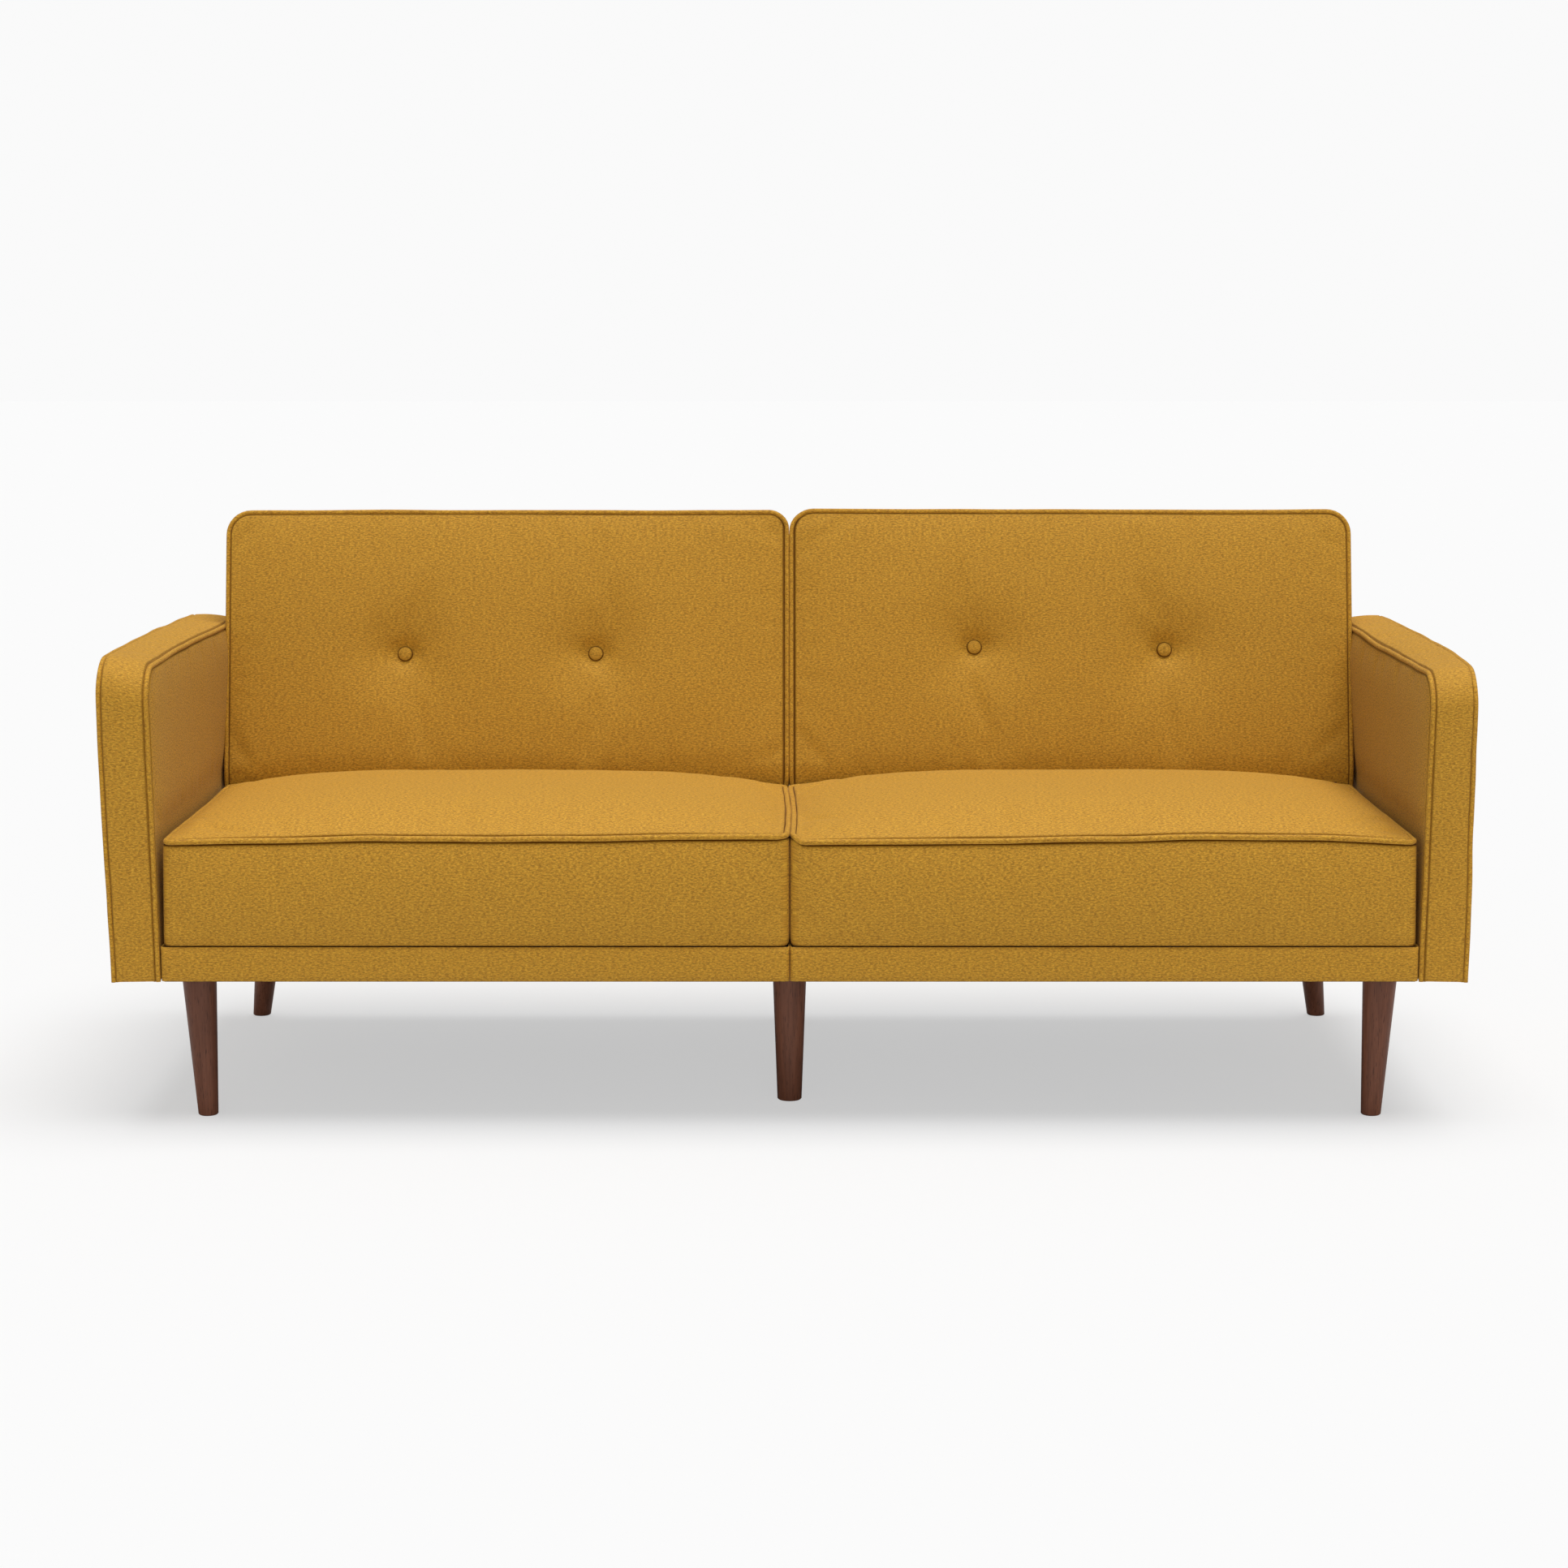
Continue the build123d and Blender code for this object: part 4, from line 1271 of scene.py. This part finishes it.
    def shaped(self, point: Vector) -> Vector:
        """Returns where a point of the plain block lies in the buttoned back."""
        a, b, c = self.fractions(point)
        made = point + self.turned_in(b, c)
        front = ease((c - 0.9) / 0.1)
        rear = 1 - ease(c / 0.08)
        slow = unevenness(point, self.side.seed + 40, 0.17)
        quick = unevenness(point, self.side.seed + 47, 0.055)
        away = swell(a, 9.0) * swell(b, 9.0)
        puff = self.bulge * swell(a, 4.0) * swell(b, 2.4)
        pulled = self.pull(point)
        puff = puff * (1 - pulled) - self.dimple * pulled
        made.z += (puff + (1.6 * slow + 0.5 * quick) * MM * away) * front
        made.z -= (2.0 * MM * swell(a, 4.0) * swell(b, 4.0)) * rear
        boxing = math.sin(math.pi * clamp(c, 0.0, 1.0)) if 0 < c < 1 else 0.0
        pressed = 1 - abs(2 * clamp(c, 0.0, 1.0) - 1) ** 8
        inner = ease((-a - 0.97) / 0.03)
        made.x -= self.lean_in * pressed * inner
        made.x += self.side_bulge * boxing * ease((a - 0.97) / 0.03) * swell(b, 4.0)
        top = ease((b - 0.86) / 0.14)
        made.y += (3.2 + 0.8 * quick) * MM * boxing * top * swell(a, 8.0)
        made.y += self.edge_rise(a) * ease((b - 0.3) / 0.7)
        made.x += self.aside(a, b)
        return made

    def held(self, piece: bpy.types.Object) -> list[int]:
        """Returns the vertices that the seams, the frame and the buttons hold."""
        back = (self.across() @ self.placing()).inverted()
        found = []
        for vertex in piece.data.vertices:
            point = back @ vertex.co
            a, b, c = self.fractions(point)
            to_side = (1 - abs(a)) * (self.high.x - self.low.x) / 2
            to_end = (1 - abs(b)) * (self.high.y - self.low.y) / 2
            rim = min(to_side, to_end) < 9 * MM and (c > 0.92 or c < 0.06)
            sides = to_side < 8 * MM or (b < 0 and to_end < 8 * MM)
            place = point.x - self.aside(a, b)
            button = any(math.hypot(place - p.x, point.y - p.y) < 17 * MM for p in self.buttons)
            if rim or sides or (button and c > 0.5):
                found.append(vertex.index)
        return found

    def settle(self, piece: bpy.types.Object) -> None:
        """Takes over the cloth's shape. The front may swell freely, the boxing only a little."""
        back = (self.across() @ self.placing()).inverted()

        def free(point: Vector) -> Vector:
            """Holds back the boxing and lets the front go."""
            share = 0.2 + 0.8 * ease((self.fractions(back @ point)[2] - 0.88) / 0.1)
            return Vector((0.3 * share, share, share))

        self.stuffing.settle(piece, free)

    def pipe(self) -> list[bpy.types.Object]:
        """Makes the piping round the front and returns it."""
        inset = self.piping_radius
        low = Vector((self.low.x + inset, self.low.y + inset, 0))
        high = Vector((self.high.x - inset, self.high.y - inset, 0))
        line = []
        corners = (self.lower_corner, self.corner, self.inner_corner, self.lower_corner)
        for point in rounded_loop(low, high, [corner - inset for corner in corners], 5 * MM):
            a, b, _ = self.fractions(point)
            wobble = unevenness(point, self.side.seed + 13, 0.08) * 0.6 * MM
            sway = unevenness(point, self.side.seed + 17, 0.10) * 0.8 * MM
            point.y += self.edge_rise(a) * ease((b - 0.3) / 0.7) + sway * swell(a, 8.0)
            point.z = self.front - inset + wobble + 0.6 * MM
            point.x -= self.lean_in * ease((-a - 0.93) / 0.05) * ease((1.0 - abs(b)) / 0.1)
            point.x += self.aside(a, b)
            line.append(self.point_to_row(point + self.turned_in(b, 1.0)))
        name = f"{self.prefix}_back_welt"
        piece = round_tube(name, line, self.piping_radius, True, PIPING_CLOTH)
        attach(piece, f"{self.prefix}_back")
        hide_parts(f"{self.prefix}_back_piping")
        return [piece]

    def covered_buttons(self) -> bpy.types.Object:
        """Makes the two covered buttons and returns them as one piece."""
        low, high = self.span(f"{self.prefix}_back_buttons")
        radius = (high.y - low.y) / 2
        crest = high.z + self.button_stand
        depth = self.button_depth
        bm = bmesh.new()
        layer = bm.verts.layers.float.new(CREASE_SHADE)
        for place in self.buttons:
            middle = Matrix.Translation((place.x, place.y, crest - depth))
            shape = middle @ Matrix.Diagonal((radius, radius, depth, 1))
            bmesh.ops.create_uvsphere(bm, u_segments=40, v_segments=20, radius=1.0, matrix=shape)
        for vertex in bm.verts:
            place = min(self.buttons, key=lambda p: abs(p.x - vertex.co.x))
            dx, dy = vertex.co.x - place.x, vertex.co.y - place.y
            share = math.hypot(dx, dy) / radius
            # Painted shade: the rim of each button's dome and its hidden underside are marked dark with the crease
            # shade attribute.
            vertex[layer] = 0.95 * ease((share - 0.80) / 0.12) if vertex.co.z > crest - depth else 0.95
            if vertex.co.z > crest - depth:
                gather = 0.12 * MM * math.sin(14 * math.atan2(dy, dx)) * share**3
                vertex.co.z += gather + 0.9 * MM * share**2 * (1 - share**6)
            across, up, _ = self.fractions(place)
            vertex.co.x += self.aside(across, up)
        unwrap_panels(bm)
        self.to_row(bm)
        piece = finish_object(f"{self.prefix}_back_covered_buttons", bm, UPHOLSTERY)
        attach(piece, f"{self.prefix}_back")
        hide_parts(f"{self.prefix}_back_buttons")
        return piece


@dataclass
class Arm(SewnShell):
    """One arm: a slim padded slab that leans outwards, with piping along both edges.

    Attributes:
        lean: How far it leans outwards, in degrees.
        corner: The radius of its upper corners.
        outer_bulge: How far its outer panel bulges.
        inner_bulge: How far its inner panel bulges above the seat.
        band_bulge: How far the band between the two runs of piping bulges.
        piping_radius: The radius of the piping.
        inner_lift: How far the inner upper edge stands above its place, from the front to the back.
        outer_lift: The same for the outer upper edge.
        outer_stand: How far the outer side stands out of its place, from its bottom to its top.
        toe_in: How far the inner upper edge leans towards the back of the seat.
    """

    lean: float = 0.9
    corner: float = 55 * MM
    outer_bulge: float = 3 * MM
    inner_bulge: float = 2.4 * MM
    band_bulge: float = 2.2 * MM
    piping_radius: float = 3.5 * MM
    inner_lift: tuple[float, ...] = (0.0, 0.0)
    outer_lift: tuple[float, ...] = (0.0, 0.0)
    outer_stand: tuple[float, ...] = (0.0, 0.0)
    toe_in: float = 8 * MM
    # Darkness of the painted shade in the creases beside the piping.
    crease_shade: float = 0.45
    stuffing: Stuffing = Stuffing(cap=3 * MM, slack=0.015)

    def placing(self) -> Matrix:
        """Returns the matrix from the arm's own axes, which lean outwards, to the row's frame."""
        return Matrix.Rotation(math.radians(self.lean), 4, "Y")

    def build(self) -> bpy.types.Object:
        """Makes the arm's cover and returns it, before its cloth settles."""
        self.low, self.high = self.span(f"{self.prefix}_arm_cover")
        bm = plain_block(self.low, self.high)
        top = self.high.z - TOUCH
        ends = edges_where(bm, lambda a, b: min(a.z, b.z) > top and abs(a.x - b.x) > 10 * MM)
        round_edges(bm, ends, self.corner, 10)

        def rim(a: Vector, b: Vector) -> bool:
            """True for an edge round the inner or outer panel, apart from its bottom."""
            inside = max(a.x, b.x) < self.low.x + TOUCH
            outside = min(a.x, b.x) > self.high.x - TOUCH
            return (inside or outside) and max(a.z, b.z) >= self.low.z + TOUCH

        cradle_rim(bm, edges_where(bm, rim), self.lip, self.turn, self.crease_shade)
        cut_into_grid(bm, self.low, self.high, (self.spacing,) * 3)
        unwrap_panels(bm)
        for vertex in bm.verts:
            vertex.co = self.shaped(vertex.co)
        self.to_row(bm)
        piece = finish_object(f"{self.prefix}_arm_upholstery", bm, UPHOLSTERY)
        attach(piece, "base")
        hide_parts(f"{self.prefix}_arm_cover", f"{self.prefix}_arm_padding")
        return piece

    def fractions(self, point: Vector) -> tuple[float, float, float]:
        """Returns a point's place outwards (0 to 1), to the back (-1 to 1) and up (0 to 1)."""
        middle = (self.low + self.high) / 2
        size = self.high - self.low
        out = (point.x - self.low.x) / size.x
        return out, (point.y - middle.y) / (size.y / 2), (point.z - self.low.z) / size.z

    def to_rim(self, point: Vector) -> float:
        """Returns the distance from a point to the slab's outline, seen from the side."""
        dy = min(point.y - self.low.y, self.high.y - point.y)
        dz = self.high.z - point.z
        if dy < self.corner and dz < self.corner:
            return self.corner - math.hypot(self.corner - dy, self.corner - dz)
        return min(dy, dz)

    def shaped(self, point: Vector) -> Vector:
        """Returns where a point of the plain block lies in the padded arm."""
        out, _, up = self.fractions(point)
        made = point.copy()
        slow = unevenness(point, self.side.seed + 60, 0.14)
        quick = unevenness(point, self.side.seed + 67, 0.045)
        inland = ease(self.to_rim(point) / (60 * MM))
        crush = 1 + 1.2 * ease((up - 0.75) / 0.25)
        made += self.slump(point)
        if out > 0.9:
            made.x += (self.outer_bulge + (1.0 * slow + 0.4 * quick) * MM) * inland
        if out < 0.1:
            free = ease((up - 0.46) / 0.12)
            padded = self.inner_bulge + (0.8 * slow + 0.35 * quick) * MM * crush
            made.x -= padded * inland * (0.1 + 0.9 * free)
        round_band = math.sin(math.pi * clamp(out, 0.0, 1.0)) if 0 < out < 1 else 0.0
        if self.to_rim(point) < 6 * MM and round_band > 0:
            outwards = self.band_normal(point)
            made += outwards * (self.band_bulge + (0.5 * slow + 0.45 * quick) * MM * crush) * round_band
        return made

    def slump(self, point: Vector) -> Vector:
        """Returns how far the padding has moved the upper part of the arm at a point."""
        out, along, up = self.fractions(point)
        depth = (along + 1) / 2
        out = clamp(out, 0.0, 1.0)
        lift = along_run(self.inner_lift, depth) * (1 - out) + along_run(self.outer_lift, depth) * out
        inwards = self.toe_in * (1 - 0.6 * out) * ease((along + 0.4) / 0.9) * ease((1.15 - along) / 0.4)
        outwards = along_run(self.outer_stand, up) * out - inwards * ease((up - 0.45) / 0.5)
        return Vector((outwards, 0.0, lift * ease((up - 0.5) / 0.5)))

    def band_normal(self, point: Vector) -> Vector:
        """Returns the way out of the band at a point on it."""
        dy = min(point.y - self.low.y, self.high.y - point.y)
        dz = self.high.z - point.z
        sign = -1.0 if point.y - self.low.y < self.high.y - point.y else 1.0
        if dy < self.corner and dz < self.corner:
            way = Vector((0, sign * (self.corner - dy), self.corner - dz))
            return way.normalized() if way.length > 0 else Vector((0, 0, 1))
        return Vector((0, sign, 0)) if dy < dz else Vector((0, 0, 1))

    def held(self, piece: bpy.types.Object) -> list[int]:
        """Returns the vertices that the seams and the base hold."""
        back = (self.across() @ self.placing()).inverted()
        found = []
        for vertex in piece.data.vertices:
            point = back @ vertex.co
            out, _, up = self.fractions(point)
            seam = (out < 0.12 or out > 0.88) and self.to_rim(point) < 9 * MM
            if seam or up < 0.02 or (out < 0.1 and up < 0.5):
                found.append(vertex.index)
        return found

    def settle(self, piece: bpy.types.Object) -> None:
        """Takes over the cloth's shape."""
        self.stuffing.settle(piece, lambda point: Vector((0.6, 0.35, 0.35)))

    def outline(self, inset: float) -> list[Vector]:
        """Returns the line up the front, over the top and down the back of the slab."""
        low, high = self.low.y + inset, self.high.y - inset
        top = self.high.z - inset
        radius = self.corner - inset
        shoulder = top - radius
        rise, across, bend = 80, 120, 16  # steps up each end, along the top and round each corner

        def quarter(centre: float, start: float) -> list[Vector]:
            """Returns the points round a corner, from a starting angle in degrees."""
            angles = [math.radians(start - 90 * n / bend) for n in range(bend + 1)]
            return [
                Vector((0, centre + radius * math.cos(angle), shoulder + radius * math.sin(angle)))
                for angle in angles
            ]

        climb = [Vector((0, low, self.low.z + (shoulder - self.low.z) * n / rise)) for n in range(rise)]
        run = high - low - 2 * radius
        level = [Vector((0, low + radius + run * n / across, top)) for n in range(1, across)]
        fall = [
            Vector((0, high, shoulder - (shoulder - self.low.z) * n / rise)) for n in range(1, rise + 1)
        ]
        return [*climb, *quarter(low + radius, 180), *level, *quarter(high - radius, 90), *fall]

    def pipe(self) -> list[bpy.types.Object]:
        """Makes the inner and the outer piping and returns them."""
        inset = self.piping_radius
        made = []
        for edge, x in (("inner", self.low.x + inset), ("outer", self.high.x - inset)):
            line = []
            for point in self.outline(inset):
                up = (point.z - self.low.z) / (self.high.z - self.low.z)
                crush = 1 + 0.7 * ease((up - 0.7) / 0.3)
                seed = self.side.seed + (21 if edge == "inner" else 27)
                wobble = unevenness(point, seed, 0.06) * 0.7 * MM * crush
                sway = unevenness(point, seed + 2, 0.09) * 0.7 * MM * crush
                moved = point + self.band_normal(point) * sway
                moved.x = x + wobble
                moved += self.slump(Vector((x, point.y, point.z)))
                line.append(self.point_to_row(moved))
            name = f"{self.prefix}_arm_{edge}_welt"
            piece = round_tube(name, line, self.piping_radius, False, PIPING_CLOTH)
            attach(piece, "base")
            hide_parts(f"{self.prefix}_arm_piping")
            made.append(piece)
        return made


# ---------------------------------------------------------------- base
@dataclass
class Base(SewnShell):
    """The base of one module: its fabric band and the black cloth under it.

    Attributes:
        band_corner: The radius of the band's upright corners.
        band_wall: The thickness of the band.
        outer_ease: How far the band fills out towards the arm.
        inner_ease: How far it fills out towards the other half.
        staple_pitch: The distance between the staples of the black cloth.
        sag: How far the black cloth hangs in its middle.
    """

    band_corner: float = 7 * MM
    band_wall: float = 2 * MM
    outer_ease: float = 2.6 * MM
    inner_ease: float = 1.3 * MM
    staple_pitch: float = 48 * MM
    sag: float = 1.6 * MM

    def band(self) -> bpy.types.Object:
        """Makes the band round the base frame and returns it."""
        low, high = self.span(f"{self.prefix}_base_band")
        size = high - low
        middle = (high + low) / 2
        bm = plain_block(low, high)
        round_edges(bm, edges_where(bm, upright), self.band_corner, 4)
        caps = [f for f in bm.faces if abs(f.normal.z) > 0.9]
        bmesh.ops.delete(bm, geom=caps, context="FACES_ONLY")
        cut_into_grid(bm, low, high, (12 * MM, 12 * MM, 7 * MM))
        unwrap_panels(bm)
        for vertex in bm.verts:
            up = (vertex.co.z - low.z) / size.z
            bulge = math.sin(math.pi * clamp(up, 0.0, 1.0)) if 0 < up < 1 else 0.0
            quick = unevenness(vertex.co, self.side.seed + 80, 0.07)
            if vertex.co.y < low.y + 1 * MM:
                vertex.co.y -= (1.2 * MM + 0.5 * MM * quick) * bulge
                vertex.co.y += 2.2 * MM * ease((up - 0.86) / 0.14)
            outer = ease((vertex.co.x - middle.x) / (size.x / 2) * 20 - 19)
            inner = ease((middle.x - vertex.co.x) / (size.x / 2) * 20 - 19)
            vertex.co.x += self.outer_ease * outer - self.inner_ease * inner
        bmesh.ops.recalc_face_normals(bm, faces=bm.faces)
        walls = list(bm.faces)
        bmesh.ops.solidify(bm, geom=walls, thickness=self.band_wall)
        bmesh.ops.recalc_face_normals(bm, faces=bm.faces)
        self.to_row(bm)
        piece = finish_object(f"{self.prefix}_base_cloth_band", bm, UPHOLSTERY)
        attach(piece, "base")
        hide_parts(f"{self.prefix}_base_band")
        return piece

    def underlining(self) -> bpy.types.Object:
        """Makes the black cloth under the base, with its staples, and returns the cloth."""
        low, high = self.span(f"{self.prefix}_dust_cover")
        size = high - low
        middle = (high + low) / 2
        bm = bmesh.new()
        place = Matrix.Translation((middle.x, middle.y, low.z + 0.3 * MM))
        bmesh.ops.create_grid(
            bm,
            x_segments=44,
            y_segments=38,
            size=0.5,
            matrix=place @ Matrix.Diagonal((size.x, size.y, 1, 1)),
        )
        unwrap_panels(bm)
        for vertex in bm.verts:
            a = (vertex.co.x - middle.x) / (size.x / 2)
            b = (vertex.co.y - middle.y) / (size.y / 2)
            ripple = unevenness(vertex.co, self.side.seed + 90, 0.11) * 0.4 * MM
            vertex.co.z -= (self.sag + ripple) * swell(a, 3.0) * swell(b, 3.0)
        bmesh.ops.recalc_face_normals(bm, faces=bm.faces)
        self.to_row(bm)
        piece = finish_object(f"{self.prefix}_black_underlining", bm, UNDERLINING)
        thickness = piece.modifiers.new("cloth", "SOLIDIFY")
        thickness.thickness = 0.5 * MM
        thickness.offset = 0.0
        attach(piece, "base")
        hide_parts(f"{self.prefix}_dust_cover")
        staples = self.staples(low, high)
        return piece

    def staples(self, low: Vector, high: Vector) -> bpy.types.Object:
        """Makes the staples along the edge of the black cloth and returns them."""
        margin = 12 * MM
        bm = bmesh.new()
        front_inner = Vector((low.x + margin, low.y + margin, 0))
        front_outer = Vector((high.x - margin, low.y + margin, 0))
        rear_inner = Vector((low.x + margin, high.y - margin, 0))
        rear_outer = Vector((high.x - margin, high.y - margin, 0))
        runs = (
            (front_inner, front_outer),
            (rear_inner, rear_outer),
            (front_inner, rear_inner),
            (front_outer, rear_outer),
        )
        for start, end in runs:
            count = int((end - start).length / self.staple_pitch)
            for n in range(1, count):
                point = start.lerp(end, n / count)
                turn = unevenness(point, 7.0, 0.01) * 0.5
                place = Matrix.Translation((point.x, point.y, low.z - 0.1 * MM))
                shape = Matrix.Diagonal((10 * MM, 1.2 * MM, 0.7 * MM, 1))
                lay = Matrix.Rotation(turn + (0 if start.y == end.y else math.pi / 2), 4, "Z")
                bmesh.ops.create_cube(bm, size=1.0, matrix=place @ lay @ shape)
        self.to_row(bm)
        piece = finish_object(f"{self.prefix}_underlining_staples", bm, ZINC)
        piece.data.shade_flat()
        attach(piece, "base")
        return piece


# ---------------------------------------------------------------- carried-over CAD nodes
@dataclass
class Fittings:
    """The hard pieces whose shape comes from the CAD: legs, frames, springs, hinges and bolts.

    Attributes:
        finishes: The finish of each record material slot.
    """

    finishes: dict[str, Finish]

    def dress(self) -> None:
        """Gives every shown CAD node its finish."""
        slots = {s["node"]: s["material_slot"] for s in frame["record"]["subparts"]}
        for name, node in frame["nodes"].items():
            if node.hide_render:
                continue
            node.data.materials.clear()
            node.data.materials.append(self.finishes[slots[name]].material())
            log.info("dressed %s", name)


FITTINGS = Fittings(
    {
        "walnut_stained_wood": WALNUT,
        "frame_wood": SAWN_PINE,
        "bracket_steel": BRACKET_ENAMEL,
        "spring_steel": SPRING_STEEL,
        "bolt_steel": ZINC,
        "clip_plastic": CLIP_PLASTIC,
        "webbing": STRAP_CLOTH,
        "foam": SEAT_FOAM,
    }
)


# ---------------------------------------------------------------- studio
def grey(tone: float) -> Colour:
    """Returns a neutral colour."""
    return (tone, tone, tone, 1.0)


@dataclass
class Studio:
    """The pale floor, the soft lights and the camera.

    Attributes:
        camera_place: The camera's position.
        camera_pitch: How far it looks down, in degrees.
        lens: Its focal length, in millimetres, on a 36 mm sensor.
        ambient: The brightness of the light from all round.
        backdrop: The brightness of what is seen behind the sofa.
        overhead: The strength of the light from above.
        fill: The strength of the low light from the front.
        floor_tone: How much of the light the floor gives back where it is seen.
        floor_bounce: How much of it the floor gives back to the sofa.
        floor_glow: How much the floor is lit from inside, as a light table is, where it is seen.
    """

    ambient: float = 0.25
    backdrop: float = 0.955
    overhead: float = 2.30
    fill: float = 0.43
    floor_tone: float = 0.45
    floor_bounce: float = 0.68
    floor_glow: float = 0.514
    camera_place: Point = (-0.008, -4.828, 1.1585)
    camera_pitch: float = 8.6
    lens: float = 74.87

    def floor(self) -> None:
        """Makes the floor."""
        bm = bmesh.new()
        bmesh.ops.create_grid(bm, x_segments=1, y_segments=1, size=30.0)
        mesh = bpy.data.meshes.new("studio_floor")
        bm.to_mesh(mesh)
        bm.free()
        piece = bpy.data.objects.new("studio_floor", mesh)
        bpy.context.scene.collection.objects.link(piece)
        material = bpy.data.materials.new("pale_floor")
        material.use_nodes = True
        graph = Graph(material.node_tree)
        shader = material.node_tree.nodes["Principled BSDF"]
        shader.inputs["Roughness"].default_value = 0.9
        shader.inputs["Specular IOR Level"].default_value = 0.0
        shader.inputs["Emission Color"].default_value = grey(1.0)
        seen = graph.node("LightPath").outputs["Is Camera Ray"]
        tone = graph.mix(seen, grey(self.floor_bounce), grey(self.floor_tone))
        graph.feed(shader.inputs["Base Color"], tone)
        graph.feed(shader.inputs["Emission Strength"], graph.math("MULTIPLY", seen, self.floor_glow))
        mesh.materials.append(material)

    def light(self, name: str, strength: float, spread: float, tip: float, swing: float) -> None:
        """Adds a broad light from far away.

        Args:
            name: The light's name.
            strength: Its strength.
            spread: How wide it is, in degrees.
            tip: How far it is tipped from overhead towards the front, in degrees.
            swing: How far it is tipped towards the right, in degrees.
        """
        data = bpy.data.lights.new(name, "SUN")
        data.energy = strength
        data.angle = math.radians(spread)
        lamp = bpy.data.objects.new(name, data)
        lamp.rotation_euler = (math.radians(tip), math.radians(swing), 0.0)
        bpy.context.scene.collection.objects.link(lamp)

    def build(self) -> None:
        """Makes the whole studio."""
        self.floor()
        world = bpy.data.worlds.new("studio")
        world.use_nodes = True
        graph = Graph(world.node_tree)
        background = world.node_tree.nodes["Background"]
        seen = graph.node("LightPath").outputs["Is Camera Ray"]
        glow = graph.mix(seen, grey(self.ambient), grey(self.backdrop))
        graph.feed(background.inputs[0], glow)
        bpy.context.scene.world = world
        bpy.context.scene.view_settings.view_transform = "Standard"
        self.light("overhead", self.overhead, spread=45.0, tip=3.0, swing=7.0)
        self.light("front", self.fill, spread=50.0, tip=80.0, swing=6.0)
        data = bpy.data.cameras.new("camera")
        data.sensor_width = 36.0
        data.lens = self.lens
        data.clip_end = 60.0
        camera = bpy.data.objects.new("camera", data)
        camera.location = self.camera_place
        camera.rotation_euler = (math.radians(90 - self.camera_pitch), 0.0, 0.0)
        bpy.context.scene.collection.objects.link(camera)
        bpy.context.scene.camera = camera


# ---------------------------------------------------------------- the sofa
def smooth(piece: bpy.types.Object) -> None:
    """Gives a piece one level of smoothing."""
    surface = piece.modifiers.new("smooth", "SUBSURF")
    surface.levels = 1
    surface.render_levels = 1


def settle_shells(shells: Sequence[SewnShell], pieces: Sequence[bpy.types.Object]) -> None:
    """Lets the stuffing push out every cover at once.

    Args:
        shells: The shells.
        pieces: Their covers, in the same order.
    """
    for shell, piece in zip(shells, pieces):
        shell.stuffing.start(piece, shell.held(piece))
    for step in range(1, Stuffing.frames + 1):
        bpy.context.scene.frame_set(step)
    for shell, piece in zip(shells, pieces):
        shell.settle(piece)
    bpy.context.scene.frame_set(1)
    for piece in pieces:
        smooth(piece)


def main() -> None:
    """Builds the sofa and its studio."""
    logging.basicConfig(level=logging.INFO, format="%(name)s: %(message)s")
    Studio().build()
    seats = [
        Seat(Side.LEFT, edge_wander=millimetres(12.3, 12.0, 9.3, 8.8, 9.9, 6.5, 4.5)),
        Seat(Side.RIGHT, edge_wander=millimetres(4.3, 5.2, 6.6, 9.0, 12.3, 11.0, 5.0)),
    ]
    backs = [
        Back(
            Side.LEFT,
            inner_corner=30 * MM,
            shift=millimetres(0, 3.5),
            top_wander=millimetres(1, 0, 1, 1, 0),
            inner_button=millimetres(6.5, -4.5),
            outer_button=millimetres(5.5, -5),
        ),
        Back(
            Side.RIGHT,
            inner_corner=36 * MM,
            side_bulge=3 * MM,
            shift=millimetres(0, 2),
            top_wander=millimetres(3, 2, 2, 1, 2),
            inner_button=millimetres(-6, 5.5),
            outer_button=millimetres(-7.5, 1.5),
        ),
    ]
    arms = [
        Arm(
            Side.LEFT,
            outer_bulge=5 * MM,
            outer_stand=millimetres(1, 2.2, 4.4, 5.5, 3.5),
            inner_lift=millimetres(-1, 0, 0, -2, -4),
            outer_lift=millimetres(13, 13, 12, 9, 3),
        ),
        Arm(
            Side.RIGHT,
            outer_bulge=2.5 * MM,
            outer_stand=millimetres(1, 1, -2, -2.5, -3),
            inner_lift=millimetres(-9, -12, -12, -7, -5),
            outer_lift=millimetres(-3, 5, 6, 5, 1),
        ),
    ]
    shells: list[SewnShell] = [*seats, *backs, *arms]
    pieces = [shell.build() for shell in shells]
    settle_shells(shells, pieces)
    for piece in pieces:
        log.info("built %s", piece.name)
    for shell in shells:
        for piping in shell.pipe():
            log.info("built %s", piping.name)
    for back in backs:
        log.info("built %s", back.covered_buttons().name)
    for side in Side:
        base = Base(side)
        log.info("built %s", base.band().name)
        log.info("built %s", base.underlining().name)
    FITTINGS.dress()


if __name__ == "__main__":
    main()
